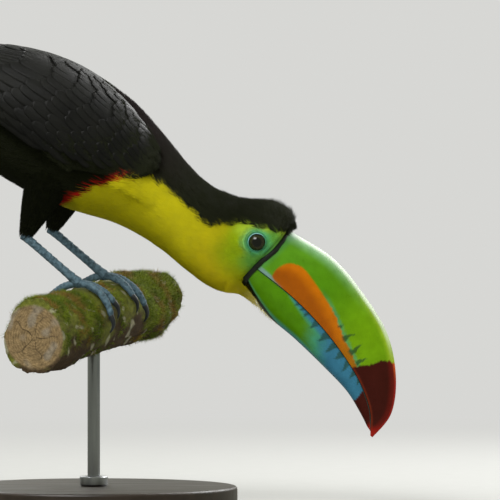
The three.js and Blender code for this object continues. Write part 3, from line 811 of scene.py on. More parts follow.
def fading(low, high):
    """Full between low and high, and thinning out over a fifth of a station beyond them."""
    return lambda t, turn, points: smooth(t, low - 0.2, low) * smooth(t, high + 0.2, high)


def each(*weights):
    """The product of several weights."""
    return lambda *place: np.prod([weight(*place) for weight in weights], axis=0)


def not_black(*place):
    return 1 - cap_share(*place)


def yellow(t, turn, points):
    return not_black(t, turn, points) * smooth(eye_distance(points), 7.0, 10.2)


def under_wing(t, turn, points):
    """Thin where the folded wings hide the coat."""
    down = degrees_down(turn)
    hidden = smooth(down, 24, 34) * smooth(down, 100, 86)
    return 1 - 0.9 * (hidden * smooth(t, 5.7, 6.1) * smooth(t, 10.4, 9.6))


def chin_paint(share, turn, points):
    f, _ = to_head(points)
    pale = smooth(f + 3 * waver(points, 2, 13), 1, 16) * 0.85
    # Ahead of the throat the colour is painted up to a tenth lighter: painted light that lifts the
    # shade under the bill.
    return (1 + 0.1 * smooth(f, 0, 9)[:, None]) * layered(face_paint(points), (PALE_BRISTLE, pale))


def ruffle(t, turn):
    """How far the tips of the cap's bristly feathers stand up."""
    return np.interp(t, [0, 0.5, 1.5, 3], [0.3, 1.7, 1.9, 1.1]) * (0.4 + rng.random(len(t)))


def close(t, turn):
    """The face's and throat's feathers lie close, and stand off a little below."""
    return 0.1 + 0.4 * smooth(degrees_down(turn), 115, 165)


def eyeside_sink(t, turn):
    """Deep enough beside the bare ring for every root to start in it."""
    return np.interp(eye_distance(body(t, turn)), [8, 11, 14, 18], [0.6, 0.8, 0.7, 0.3])


def make_coat():
    whole = (0, WHOLE_TURN)
    # A lighter painted shade: roots a little darker, tips a little lighter.
    soft = (0.86, 1.0, 1.08)
    broad = {"length": 13.0, "width": 1.1, "splay": (1.8, 3.4), "sink": 2.4, "stand": 0.5}
    coat("coat_cap", body, (0, 3.3), (-1.6, 1.6), 9500, weight=each(cap_share, fading(0, 3.1)),
         length=along([0, 0.5, 1.5, 3.3], [2.4, 4.2, 6.5, 8.0]),
         width=0.38, splay=(0.6, 1.2), sink=1.0, stand=ruffle, swirl=0.2)
    coat("coat_crest", body, (0.15, 1.9), (-0.9, 0.9), 700, paint=black_paint,
         length=varied(4.5, 2), width=0.55, splay=(0.15, 0.5), sink=0.8, stand=varied(2.2, 1.6),
         lift=1.3, swirl=0.3)
    coat("coat_forehead", forehead, (0, 1), (-1.35, 1.35), 1300, paint=black_paint,
         weight=lambda share, turn, points: smooth(share, 0.85, 0.6),
         length=along([0, 0.7], [4.5, 3.4]), width=0.34, splay=(0.7, 1.4), sink=1.8,
         stand=varied(0.3, 0.9), lift=1.1, swirl=0.2, short=False)
    coat("coat_nape", body, (2.9, 5.9), (-1.7, 1.7), 5000, weight=each(cap_share, fading(3.1, 5.7)),
         length=10.0, width=0.75, splay=(1.3, 2.4), sink=2.0, stand=0.6, swirl=0.12)
    # In front of each folded wing the breast's feathers rise to cover its bend.
    for word, flank in (("left", (0.5, 1.9)), ("right", (-1.9, -0.5))):
        coat(f"coat_shoulder_{word}", body, (4.35, 5.35), flank, 2000, weight=fading(4.55, 5.15),
             length=varied(9, 2), width=0.7, splay=(1.2, 2.0), sink=1.8,
             stand=along([4.35, 4.8, 5.2], [0.4, 2.6, 4.6]), lift=1.1)
    coat("coat_face", body, (0, 2.4), whole, 12000, "face", each(yellow, fading(0.03, 2.2)),
         length=along([0, 0.4, 1.2, 2.4], [1.4, 2.0, 2.8, 4.0]), width=0.26, splay=(0.6, 0.9),
         sink=eyeside_sink, stand=close, barbs=4, tones=soft)
    coat("coat_throat", body, (2.0, 4.1), whole, 12000, "yellow_bib",
         each(yellow, fading(2.2, 3.9)), length=5.0, width=0.36, splay=(0.9, 1.4), sink=0.7,
         stand=close, barbs=4, swirl=0.08, tones=soft)
    coat("coat_bib", body, (3.7, 6.3), (0.9, WHOLE_TURN - 0.9), 8000, "yellow_bib",
         each(not_black, fading(3.9, 6.3)),
         length=7.5, width=0.62, splay=(1.1, 1.9), sink=1.4, stand=0.3, swirl=0.08, tones=soft)
    coat("coat_belly", body, (4.6, 9.5), (1.1, WHOLE_TURN - 1.1), 5600,
         weight=each(cap_share, under_wing, fading(4.7, 9.3)), **broad)
    coat("coat_back", body, (5.3, 9.5), (-1.5, 1.5), 4500,
         weight=each(under_wing, fading(5.5, 9.3)), **broad)
    coat("coat_rump", body, (9.1, 10.9), whole, 4400, "rump_feathers", fading(9.3, 10.8),
         length=14.0, width=1.1, splay=(1.6, 3.2), sink=2.0, stand=0.4)
    for word, side in SIDES:
        coat(f"coat_thigh_{word}", thigh(side), (-0.1, 0.95), whole, 2200, paint=black_paint,
             length=along([0.25, 0.6, 0.95], [10.0, 8.0, 5.0]), width=0.8, splay=(1.2, 2.0),
             sink=1.4, stand=0.35)
    # Under the bill the throat's feathers run on along it, and thin out to single pale bristles.
    coat("coat_chin", chin(), (0.0, 1.0), (-1.5, 1.5), 4400, "yellow_bib", paint=chin_paint,
         weight=lambda at, turn, points: (
             0.04 + 0.96 * smooth(at, 0.66, 0.3) ** 1.5 * smooth(at, 0.0, 0.24)),
         length=lambda at, turn: (
             np.interp(at, [0, 0.4, 0.8], [5.5, 6.0, 5.0]) * (0.8 + 0.4 * rng.random(len(at)))),
         width=0.24, splay=(0.8, 1.7), sink=1.4,
         stand=lambda at, turn: 0.1 + (0.2 + 1.4 * smooth(at, 0.2, 0.7)) * rng.random(len(at)),
         lift=1.2, swirl=0.14, tones=soft, short=False)


# ---------------- eyes and lids

IRIS = srgb("#26260e")
IRIS_RIM = srgb("#101006")
PUPIL = srgb("#060803")
PUPIL_ANGLE, IRIS_ANGLE = np.radians(26), np.radians(58)  # from the eye's axis


def make_eyes():
    """Wet dark eyes: black pupil, dark brown iris and a cornea that stands a little proud."""
    angle, round_ = grid(np.linspace(0, np.pi, 60)[1:-1], turns(72))
    bulge = EYE_RADIUS * (0.985 + 0.03 * smooth(angle, IRIS_ANGLE, PUPIL_ANGLE / 2))
    x, z = (bulge * np.sin(angle) * wave(round_) for wave in (np.cos, np.sin))
    for word, side in SIDES:
        y = side * (EYE_CENTRE[1] + bulge * np.cos(angle))
        points, faces = loft(np.stack([EYE_CENTRE[0] + x, y, EYE_CENTRE[2] + z], -1))
        out = np.arccos(np.clip((points[:, 1] * side - EYE_CENTRE[1]) / EYE_RADIUS, -1, 1))
        paint = layered(
            IRIS,
            (IRIS_RIM, (0.5 + 0.5 * waver(points, 1.2, 11)) * 0.5),
            (IRIS_RIM, smooth(out, IRIS_ANGLE * 0.8, IRIS_ANGLE)),
            (PUPIL, smooth(out, PUPIL_ANGLE + 0.07, PUPIL_ANGLE - 0.03)),
        )
        add_piece(f"eyeball_{word}", points, faces, EYE, "eye", (f"eye_{word}",), paint)


LID_RINGS = np.array([5.3, 5.4, 5.5, 5.65, 5.85, 6.1, 6.4, 6.65, 6.9, 7.15, 7.4, 7.7, 8.0, 8.3, 8.6,
                      9, 9.4, 9.8, 10.2, 10.7, 11.2, 11.8, 12.4, 13.0])  # radii
# Height of the folds over the skin: [radius, height] of the lid's edge, a groove, two soft folds,
# then down into the coat.
LID_FOLDS = [[5.3, -1.0], [5.45, 0.1], [5.75, 0.45], [6.1, 0.4], [6.5, 0.12], [6.9, 0.28],
             [7.4, 0.16], [8.0, 0.22], [9.0, 0.18], [10.2, 0.12], [11.2, 0.06], [11.8, -0.05],
             [12.4, -0.25], [13.0, -0.9]]
LID_ROUND = 6.2  # radius out to which the ring stays round
LID_THICKNESS = 1.1


def make_lids():
    """The bare wrinkled ring round each eye, from the lids' edge out to where the coat begins."""
    t, turn, depth = body_grid()
    skin = search_tree(body(t, turn, -depth))
    round_, out = turns(150), LID_RINGS[:, None]
    # Ahead the ring is squeezed between the eye and the bill's rim.
    ahead = np.cos(round_) * BILL_COS - np.sin(round_) * BILL_SIN
    room = (-to_head(EYE_CENTRE)[0] - 0.4) / np.maximum(ahead, 0.1)
    squeeze = np.minimum(1, (room - LID_ROUND) / (LID_RINGS[-1] - LID_ROUND))
    spread = np.where(out > LID_ROUND, LID_ROUND + (out - LID_ROUND) * squeeze, out)
    x = EYE_CENTRE[0] + spread * np.cos(round_)
    z = EYE_CENTRE[2] + spread * np.sin(round_)
    wrinkle = np.sin(round_ * 34 + 2.2 * np.sin(round_ * 5)) * 0.5 + np.sin(round_ * 61 + 1) * 0.3
    ripple = 0.05 * wrinkle * (smooth(out, LID_ROUND, 7.6) * smooth(out, 10, 8.5))
    lift = curve(LID_FOLDS, out) + ripple
    # The lids rest on the eye, so the ring's inner part leaves the skin for the eye's surface.
    ball = EYE_CENTRE[1] + np.sqrt(EYE_RADIUS**2 - np.minimum(out, 5.9) ** 2)
    near = smooth(out, 8.5, 5.6)
    for word, side in SIDES:
        base = np.empty_like(x)
        for spot in np.ndindex(x.shape):
            hit = skin.ray_cast(Vector((x[spot], side * 60, z[spot])), Vector((0, -side, 0)))[0]
            base[spot] = abs(hit.y) if hit else np.nan
        base = np.where(np.isnan(base), np.nanmin(base), base)
        top = (base * (1 - near) + (ball + 0.45) * near) + lift
        across = np.concatenate([top, top[::-1] - LID_THICKNESS])
        xs, zs = (np.concatenate([a, a[::-1]]) for a in (x, z))
        points, faces = wound(np.stack([xs, side * across, zs], -1))
        add_piece(f"lids_{word}", points, faces, LIDS, "face", paint=lid_paint(points))


def lid_paint(points):
    """Turquoise skin with dark grooves, a painted highlight on the lid's upper rear edge, painted
    shade in the ring beyond it, and black next to the eye.
    """
    eye = eye_distance(points)
    up, ahead = points[:, 2] - EYE_CENTRE[2], points[:, 0] - EYE_CENTRE[0]
    # lit is 1 on the upper rear side, where the light falls: it places the painted highlight and
    # painted shade below.
    lit = 0.5 + 0.5 * (up - 0.5 * ahead) / (1.12 * eye)
    # Between 7 and 10 mm out the skin turns more turquoise and is painted up to a quarter darker,
    # most on the lit side: partly its own colour, partly painted shade.
    turquoise_and_painted_shade = smooth(eye, 7.0, 7.9) * smooth(eye, 10.2, 8.6) * (0.2 + 0.8 * lit)
    skin = layered(face_paint(points), (TURQUOISE, 0.55 * turquoise_and_painted_shade)) * (1 - 0.25 * turquoise_and_painted_shade)[:, None]
    return layered(
        skin,
        (TURQUOISE_DARK, smooth(eye, 6.3, 5.95) * 0.75),
        # Painted highlight on the lid's edge, almost only on the lit side.
        (LID_PAINTED_HIGHLIGHT, smooth(eye, 5.85, 5.65) * (0.05 + 0.9 * smooth(lit, 0.5, 0.95))),
        (TURQUOISE_DARK, smooth(np.abs(eye - 6.65), 0.45, 0.1) * 0.6),
        (LID_FOLD, smooth(np.abs(eye - 6.25), 0.3, 0.1) * 0.75),
        (TURQUOISE_DARK, smooth(np.abs(eye - 7.7), 0.5, 0.1) * 0.35),
        (LID_EDGE, smooth(eye, 5.4, 5.25)),
    )


# ---------------- bill

BILL_GREEN = srgb("#4c8014")
BILL_GREEN_DEEP = srgb("#467704")
BILL_LIME = srgb("#638d06")
BILL_YELLOW = srgb("#a9bb2e")
BILL_ORANGE = srgb("#ae6002")
BILL_ORANGE_DEEP = srgb("#8e4802")
BILL_BROWN = srgb("#6e5208")
BILL_MAROON = srgb("#381009")
MAROON_EDGE = srgb("#67240f")
MAROON_TOP = srgb("#5c130a")
BILL_RED = srgb("#8c170b")
# Painted highlight: the orange-red streak along the ridge of the maroon tip.
RED_PAINTED_HIGHLIGHT = srgb("#c2551a")
BILL_BLUE = srgb("#306880")
BILL_TEAL = srgb("#3d8560")
TEAL_LINE = srgb("#4b9468")
TOOTH = srgb("#234640")
WEDGE = srgb("#1f3d22")
GAPE_SPOT = srgb("#66857a")
# A pale line along the culmen: partly the culmen's own pale stripe, partly a painted highlight.
CULMEN_PALE_AND_HIGHLIGHT = srgb("#c8d4c0")
# Painted sheen: the pale blue-green of a soft reflection near the culmen's base.
CULMEN_PAINTED_SHEEN = srgb("#86b592")
RIM_BLACK = srgb("#10150d")

# Edges of the orange patch: its rear one as [u, f] and its top one as [f, u].
ORANGE_REAR = [[-8, 13.5], [-6.4, 12.9], [-3, 11.6], [0.8, 12], [4, 12.8], [7.8, 14.9],
               [10.8, 19.3], [11.6, 25]]
ORANGE_TOP = [[12, 4], [15, 8.1], [19.3, 10.8], [25.6, 11.5], [38.8, 9.4], [52.1, 6.7], [64.1, 2.5],
              [76.2, -2.9], [90, -7.4], [104, -14.9], [112, -19.6]]
# Dark wedges: [f and u of the foot's middle, f and u of the tip, half-width of the foot].
UPPER_WEDGES = [[66, 1.6, 67.5, 4.2, 0.9], [73.5, -1.6, 76.2, 5.9, 1.6],
                [83.1, -5.0, 84.4, 4.3, 2.0], [90.6, -6.6, 92.8, -0.2, 1.7]]
# Teeth on the lower mandible: [f at the cutting edge, length, half-width, lean of the tip ahead].
TEETH = [[37.4, 2.6, 0.8, -0.9], [41.9, 3.0, 0.9, -0.9], [46.2, 3.6, 1.2, -0.9],
         [53.9, 6.0, 1.7, -0.9], [64.0, 7.2, 2.1, -0.9], [72.2, 7.7, 2.1, -0.9],
         [79.5, 5.6, 1.7, -0.9], [86.4, 6.4, 1.9, 1.2], [93.6, 4.4, 1.3, 1.2],
         [99.5, 2.6, 1.0, 1.2]]
# Heights at which the upper mandible's maroon tip starts, by share from cutting edge to culmen.
MAROON_STARTS = [[0, 90.4], [0.35, 91.4], [0.7, 94.4], [0.85, 94.2], [1, 91.8]]
# Where the black band starts and ends along the bill, by height across it: [u, f, f].
BAND = np.array([
    [-22.6, 2.2, 6.6], [-21.3, 1.0, 5.6], [-18.7, -0.3, 4.2], [-14.6, -0.7, 3.5], [-9.7, -0.5, 3.6],
    [-5.2, -0.2, 3.3], [0.5, 0.9, 4.1], [5.5, 1.2, 4.4], [9.6, 0.9, 3.9], [14.2, 0.3, 3.1],
    [19.2, -0.6, 2.0], [21.5, -0.8, 1.8]])


def band_edge(u, front):
    """f at the band's rear edge, or at its front one."""
    return eased(BAND[:, [0, 2 if front else 1]], u, 1.5)


def wedge(f, u, foot_f, foot_u, tip_f, tip_u, half):
    """1 inside a narrow triangle from its foot to its tip."""
    ahead = np.array([tip_f - foot_f, tip_u - foot_u])
    length = np.hypot(*ahead)
    ahead /= length
    s = (f - foot_f) * ahead[0] + (u - foot_u) * ahead[1]
    c = np.abs((f - foot_f) * ahead[1] - (u - foot_u) * ahead[0])
    return smooth(half * (1 - s / length) - c, -0.35, 0.35) * smooth(s, -1.4, -0.4)


def upper_paint(points, share, tall):
    """share runs from the cutting edge to the culmen, which is tall above it."""
    f, u = to_head(points)
    z = points[:, 2]
    off_ridge, off_edge = (1 - share) * tall, share * tall
    ragged = waver(points, 2.2, 21)
    inside = eased(ORANGE_TOP, f, 3.5) - u
    notched = inside + 0.5 * ragged * smooth(f, 45, 60)
    orange = np.minimum(f - eased(ORANGE_REAR, u, 2.5), notched)
    gape = smooth(off_edge - np.interp(f, [4, 12, 16, 30], [1.9, 1.6, 0.1, -0.3]), 1.0, 0)
    maroon = curve(MAROON_STARTS, share) + 0.45 * waver(points, 2.5, 22) - z
    amber = layered(
        BILL_ORANGE,
        (BILL_ORANGE_DEEP, smooth(inside, 1, 9)),
        (BILL_BROWN, smooth(f, 66, 86) * 0.6),
    )
    tip = layered(
        BILL_MAROON,
        (MAROON_EDGE, smooth(off_edge, 1.8, 0.5) * 0.7),
        (MAROON_TOP, smooth(off_ridge, 6, 2)),
        # A red line along the ridge: partly the tip's own red, partly the culmen's painted
        # highlight carried on over the maroon.
        (BILL_RED, smooth(off_ridge, 1.9, 0.6)),
        (BILL_RED, smooth(z, 54, 47)),
        # Painted highlight: brighter orange-red along the ridge where the maroon begins.
        (RED_PAINTED_HIGHLIGHT, smooth(off_ridge, 2.0, 0.4) * smooth(z, 78, 90) * 0.8),
    )
    return layered(
        BILL_GREEN,
        (BILL_GREEN_DEEP, smooth(f, 12, 40) * 0.75),
        (BILL_LIME, smooth(f, 40, 85)),
        (BILL_YELLOW, smooth(off_ridge, 6, 1) * (0.05 + 0.45 * smooth(f, 40, 95))),
        # Painted sheen: a broad pale haze below the ridge, strongest near the base.
        (CULMEN_PAINTED_SHEEN, smooth(off_ridge, 9, 1) * smooth(f, 75, 20) * 0.45),
        # Along the ridge: partly the culmen's own pale stripe, partly a painted highlight.
        (CULMEN_PALE_AND_HIGHLIGHT, smooth(off_ridge, 3.2, 0.6) * smooth(f, 108, 84) * 0.75),
        (BILL_TEAL, smooth(f, 8, 3) * 0.3),
        (BILL_TEAL, smooth(notched, -3.4, -0.8) * smooth(f, 38, 60) * 0.6),
        (amber, smooth(orange, -0.6, 0.6)),
        (GAPE_SPOT, gape * smooth(f, 2.5, 5) * smooth(f, 26, 13)),
        *((WEDGE, 0.8 * wedge(f + 0.5 * ragged, u, *row)) for row in UPPER_WEDGES),
        (tip, smooth(maroon, -0.5, 0.5)),
        rim_layer(points),
    )


def lower_paint(points, share, tall):
    """share runs from the cutting edge to the lower edge, which is tall below it."""
    f, u = to_head(points)
    down = share * tall
    ragged = waver(points, 2.2, 23)
    front = smooth(f + 1.2 * ragged + 0.8 * (u + 15), 43, 80)
    along_edge = smooth(down, np.interp(f, [28, 45, 62], [1.8, 6.5, 11]), 0) * smooth(f, 24, 38)
    along_low = smooth(share, 0.78, 1.0) * smooth(f, 8, 34) * 0.8
    blue = np.maximum.reduce([front, along_edge, along_low])
    teeth = []
    for foot, length, half, lean in TEETH:
        edge = np.interp(foot, [31, 57.5, 81, 101], [-6.8, -6.8, -9.6, -14.4])
        tip = foot + lean, edge - 1.12 * length
        teeth.append((TOOTH, 0.85 * wedge(f + 0.5 * ragged, u, foot, edge, *tip, 1.25 * half)))
    strip = np.interp(f, [3, 7, 12, 18, 27, 40], [0.3, 0.22, 0.16, 0.12, 0.08, 0.0])
    return layered(
        BILL_GREEN_DEEP,
        (BILL_GREEN, smooth(f, 12, 4) * 0.7),
        (BILL_TEAL, smooth(blue, 0.02, 0.55)),
        (BILL_BLUE, smooth(blue, 0.4, 0.95)),
        *teeth,
        (layered(BILL_MAROON, (BILL_RED, smooth(f, 122, 127))),
         smooth(f + 0.6 * ragged, 106.0, 107.2)),
        (TEAL_LINE, smooth(1 - share, strip + 0.11, strip) * smooth(f, 44, 30) * 0.7),
        (RIM_BLACK, smooth(1 - share, strip + 0.025, strip - 0.01) * smooth(f, 42, 36)),
        (TOOTH, smooth(down, 0.6, 0.15) * 0.7),
        rim_layer(points),
    )


def rim_layer(points):
    """The black band runs a little way out over both mandibles."""
    f, u = to_head(points)
    return RIM_BLACK, smooth(f + 0.2 * waver(points, 4, 24) - band_edge(u, True), 0.3, -0.3)


def mandible_rings(edge, ridge, half, power, crown, keel=0.0, floor_steps=7):
    """Half ovals from the cutting edge over the ridge, closed across a floor that rises by crown.

    It returns their points, each one's share of the way from edge to ridge, and how long that is.
    """
    turn = np.linspace(0, np.pi, 121)[None]
    tall = np.linalg.norm(ridge - edge, axis=-1)[:, None]
    edge, up = edge[:, None], (ridge - edge)[:, None] / tall[..., None]
    half = half[:, None]
    bow = 2 / power
    share = np.sin(turn) ** bow + 0 * tall
    flatter = bow * (1 + keel * np.sin(turn) ** 6)
    wide = half * bowed(np.cos(turn), flatter)
    at = edge + up * (share * tall)[..., None]
    across = np.linspace(1, -1, floor_steps + 2)[None, 1:-1] * half
    rise = crown * (1 - (across / half) ** 2) * np.minimum(tall / 10, 1)
    flat = edge + up * rise[..., None]
    points = [from_head(p[..., 0], y, p[..., 1]) for p, y in ((at, wide), (flat, -across))]
    share = np.concatenate([share, 0 * across], 1)
    return np.concatenate(points, 1), share, tall + 0 * share


def make_bill():
    upper = between(BILL, np.linspace(0, UPPER_ENDS, 210))
    upper = mandible_rings(upper[:, 2:4], upper[:, 0:2], upper[:, 6], UPPER_POWER, 1.0, keel=0.25)
    lower = between(BILL, np.linspace(0, LOWER_ENDS, 180))
    edge = lower[:, 2:4] - [0, GAP]
    lower = mandible_rings(edge, lower[:, 4:6], lower[:, 7], LOWER_POWER, -0.9)
    for name, slot, node, paint, form in (
        ("upper_mandible", "bill_green", "bill_upper", upper_paint, upper),
        ("lower_mandible", "bill_lower_blue", "bill_lower", lower_paint, lower),
    ):
        # The first ring runs back a little under the black band.
        rings, share, tall = (np.concatenate([a[:1], a]) for a in form)
        rings[0] += from_head(-BILL_RUNS_BACK, 0, 0) - BILL_ORIGIN
        points, faces = loft(rings)
        paint = paint(points, on_loft(share), on_loft(tall))
        add_piece(name, points, faces, BILL_HORN, slot, (node,), paint, crease=50)
    make_rim()


# The rim's section: how far along the band, 0 at its rear edge and 1 at its front one, and how far
# it stands. Behind the band the ring runs on under the coat.
RIM_SECTION = [(-2.6, -3.5), (-1.3, -0.6), (-0.6, 0.1), (-0.12, 0.2), (0.0, 0.25), (0.12, 0.5),
               (0.4, 0.75), (0.65, 0.72), (0.88, 0.45), (1.0, 0.1), (1.1, -0.7)]


def make_rim():
    """The black rim: a soft raised band round the base of both mandibles, and bare skin behind."""
    _, top, _, edge, _, low, *halves = BILL[0]
    turn = np.linspace(0, np.pi, 80)[1:-1]
    arcs = []
    for far, half, power in zip((top, low), halves, (UPPER_POWER, LOWER_POWER)):
        y, up = bowed(np.cos(turn), 2 / power), np.sin(turn) ** (2 / power)
        arcs.append(np.stack([half * y, edge + (far - edge) * up], -1))
    outline = np.concatenate([arcs[0], arcs[1][::-1]])
    for _ in range(3):
        outline = (np.roll(outline, 1, 0) + 2 * outline + np.roll(outline, -1, 0)) / 4
    tangent = np.roll(outline, -1, 0) - np.roll(outline, 1, 0)
    normal = unit(np.stack([tangent[:, 1], -tangent[:, 0]], -1))
    rear, front = band_edge(outline[:, 1], False), band_edge(outline[:, 1], True) - 0.5
    rows = []
    for ahead, stands in RIM_SECTION:
        # The band is thickest round its lower corner.
        corner = 1.6 * smooth(outline[:, 1:], -17, -21.5) if 0 <= ahead <= 1 else 0
        raised = outline + (stands + corner) * normal
        rows.append(from_head(rear + (front - rear) * ahead, raised[:, 0], raised[:, 1]))
    points, faces = loft(np.array(rows))
    f, u = to_head(points)
    paint = layered(face_paint(points), (BLACK, smooth(u, 17, 20)),
                    (RIM_BLACK, smooth(f - band_edge(u, False), -0.25, 0.05)))
    add_piece("rim_band", points, faces, RIM_HORN, "bill_rim", ("bill_rim",), paint)


# ---------------- vanes

VANE_ACROSS = np.array([-1, -0.7, -0.35, -0.07, 0, 0.07, 0.35, 0.7, 1])
RING_ACROSS = np.concatenate([VANE_ACROSS, VANE_ACROSS[::-1]])


def vane(place, half, length, cell, *, thickness, rings, shaft, camber, pointed, root=0.12):
    """A closed thin feather with a raised shaft.

    place(s, across, stand) gives its points: s runs from root to tip, and across is in millimetres.
    cell is the corner and size of its patch of OFBake. It returns points, faces, bake and barb.
    """
    s = (np.linspace(0, 1, rings) ** 0.9)[:, None]
    wide = np.minimum(1, (s + 0.02) / root) ** 0.7 * np.sqrt(np.maximum(1 - s**pointed, 0.004))
    wide = half * wide
    across = VANE_ACROSS * wide
    sag = camber * VANE_ACROSS**2 * wide / half
    ridge = shaft * np.exp(-((VANE_ACROSS / 0.1) ** 2)) * (1.05 - s)
    over = place(s, across, thickness / 2 + ridge - sag)
    under = place(s, across[:, ::-1], -thickness / 2 - sag)
    points, faces = loft(np.concatenate([over, under], 1))
    u, v, u_size, v_size = cell
    sheet = np.broadcast_arrays(u + u_size * s, v + v_size * (RING_ACROSS + 1) / 2)
    barb = s * length + 1.1 * np.abs(RING_ACROSS * wide)
    return points, faces, on_loft(np.stack(sheet, -1)), on_loft(barb)


WING_FEATHERS = 17
WING_THICKEST = 4.2
WING_TOP, WING_WRAP = (21, 10), (88, 56)  # degrees down the body, at the bend and the tips
FEATHER_THICKNESS = 1.1
# Rows of coverts: how far down the wing they start, length, half-width, number and tips' stand.
COVERT_ROWS = [
    (0.345, 31, 6.6, 12, -0.35), (0.265, 25, 5.6, 14, -0.15), (0.2, 21, 4.9, 15, 0.0),
    (0.145, 18, 4.4, 16, 0.1), (0.095, 15.5, 4.0, 17, 0.2), (0.05, 13.5, 3.6, 17, 0.28),
    (0.01, 12, 3.3, 16, 0.34),
]
COVERT = {"rings": 12, "shaft": 0.08, "camber": 0.25, "thickness": 0.16, "pointed": 3.2,
          "root": 0.3}


def on_wing(side, p, share, stand, across=0.0):
    """A point of the folded wing, p of the way down the column at share, 0 on top and 1 below.

    It lies across millimetres towards the lower edge, and stand above the wing's own thickness.
    """
    # The wing's bend is round, and it reaches furthest back four fifths of the way down.
    column = np.clip(share, 0, 1)
    start = 0.15 + 1.2 * np.abs(2 * column - 1) ** 2.4
    reach = np.where(column < 0.8, smooth(column, 0, 0.8), 1 - 2.5 * (column - 0.8))
    row = between(SLEEVE, start + (4.2 + 2.3 * reach - start) * p)
    top, wrap = (bend + (tips - bend) * p for bend, tips in (WING_TOP, WING_WRAP))
    lane = share + across / (np.radians(wrap) * np.maximum(row[..., 4], 14))
    angle = np.maximum(top + wrap * lane, 4)
    plump = np.clip(np.minimum(p / 0.16, (1 - p) / 0.75), 0, 1)
    plump = plump * np.clip(np.minimum(6 * share, 6 - 6 * share) + 0.4, 0, 1)
    height = FEATHER_THICKNESS + (WING_THICKEST - FEATHER_THICKNESS) * np.sin(np.pi / 2 * plump)
    return oval(row, side * np.radians(angle), height - 0.2 + stand)


def wing_vane(side, share, starts, length, half, cell, stand, tilt, **style):
    """One feather of the wing, from starts, a share of its column, on for length or to its end."""
    spine = on_wing(side, np.linspace(0, 1, 30), np.full(30, share), 0.0)
    reach = np.linalg.norm(np.diff(spine, axis=0), axis=-1).sum()
    ends = min(1.0, starts + length / reach) if length else 1.0

    def lie(s, across, height):
        lean = tilt * (across / half) / 2
        level = stand[0] + (stand[1] - stand[0]) * s + lean + height
        return on_wing(side, starts + (ends - starts) * s, share, level, across)

    return vane(lie, half, (ends - starts) * reach, cell, **style)


def add_vanes(name, vanes, node):
    points, faces, bake, barb = joined(vanes)
    add_piece(name, points, faces, VANE, "black_plumage", (node,), bake=bake, barb=barb)


def make_wing(word, side):
    """Flight feathers, rows of coverts, scapulars, and soft lesser coverts over the wing's bend."""
    flight = []
    for k in range(WING_FEATHERS):
        share = (k + 0.5) / WING_FEATHERS
        cell = (0.02, 0.02 + 0.96 * k / WING_FEATHERS, 0.95, 0.045)
        flight.append(wing_vane(side, share, 0.1, None, 8.0, cell, (-2.0, -1.0), 1.3, rings=44,
                                shaft=0.25, camber=0.2, thickness=0.22,
                                pointed=5.0 if share < 0.5 else 2.6))
    coverts = []
    for first, length, half, count, tip in COVERT_ROWS:
        for k in range(count):
            share = (k + 0.4 + 0.2 * rng.random()) / count
            starts = first + 0.005 * rng.normal()
            cell = (0.02 + 0.9 * starts, 0.02 + 0.95 * share, BAKE_PATCH, BAKE_PATCH)
            coverts.append(wing_vane(side, share, starts, length + rng.normal(), half, cell,
                                     (tip - 1.0, tip), 0.5, **COVERT))
    # Scapulars and the innermost feathers close the back between the wings.
    for row, lane in np.ndindex(8, 3):
        share = -0.09 + 0.075 * lane + 0.01 * rng.normal()
        starts = 0.05 + 0.095 * row + 0.045 * (lane % 2)
        cell = (0.02 + 0.9 * starts, 0.0, BAKE_PATCH, BAKE_PATCH)
        coverts.append(wing_vane(side, share, starts, 30, 7.0, cell, (-1.3, -0.1), 0.3, **COVERT))
    add_vanes(f"flight_feathers_{word}", flight, f"wing_{word}")
    add_vanes(f"wing_coverts_{word}", coverts, f"wing_{word}")
    coat(f"coat_wing_{word}", lambda p, share, grow=0.0: on_wing(side, p, share, grow),
         (-0.04, 0.2), (-0.2, 1.04), 3600, paint=black_paint,
         weight=lambda p, share, points: smooth(p + 0.02 * waver(points, 8, 12), 0.17, 0.02),
         length=along([-0.04, 0.1, 0.2], [5.0, 6.0, 7.0]), width=0.7, splay=(1.3, 2.2), sink=1.2,
         stand=0.35)


def make_tail():
    feathers = []
    for pair in range(TAIL_PAIRS):
        for side in (-1, 1):
            length = TAIL_LENGTH - TAIL_STEP * pair
            yaw = side * TAIL_SPREAD * (pair + 0.4)
            drop = TAIL_DROP * pair + (TAIL_SIDE_DROP if side < 0 else 0)

            def place(s, across, stand):
                x, y = -length * s + 0 * across, across + 0 * s
                z = stand - drop + 0.006 * x * s
                x, y = x * np.cos(yaw) - y * np.sin(yaw), y * np.cos(yaw) + x * np.sin(yaw)
                c, r = np.cos(TAIL_RISE), np.sin(TAIL_RISE)
                return TAIL_ROOT + np.stack([x * c + z * r, y, z * c - x * r], -1)

            cell = (0.02, 0.02 + 0.096 * (2 * pair + (side > 0)), 0.95, 0.085)
            feathers.append(vane(place, TAIL_FEATHER_WIDTH / 2, length, cell, thickness=0.3,
                                 rings=60, shaft=0.5, camber=0.55, pointed=9, root=0.62))
    add_vanes("tail_feathers", feathers, "tail")


# ---------------- legs and feet


def tube(points, radius, across, sides=28):
    """Rings round a path. radius(s, turn) gives their radii, turn 0 being towards across."""
    ahead = unit(np.gradient(points, axis=0))
    across = unit(across - ahead * (ahead @ across)[:, None])
    up = np.cross(ahead, across)
    s, turn = grid(np.linspace(0, 1, len(points)), turns(sides))
    spoke = across[:, None] * np.cos(turn)[..., None] + up[:, None] * np.sin(turn)[..., None]
    return loft(points[:, None] + radius(s, turn)[..., None] * spoke)


def scutes(s, count, deep):
    """The overlapping plates of a bird's leg: each rises slowly and drops at its edge."""
    phase = (s * count) % 1
    return deep * (phase - smooth(phase, 0.86, 1.0) * phase)


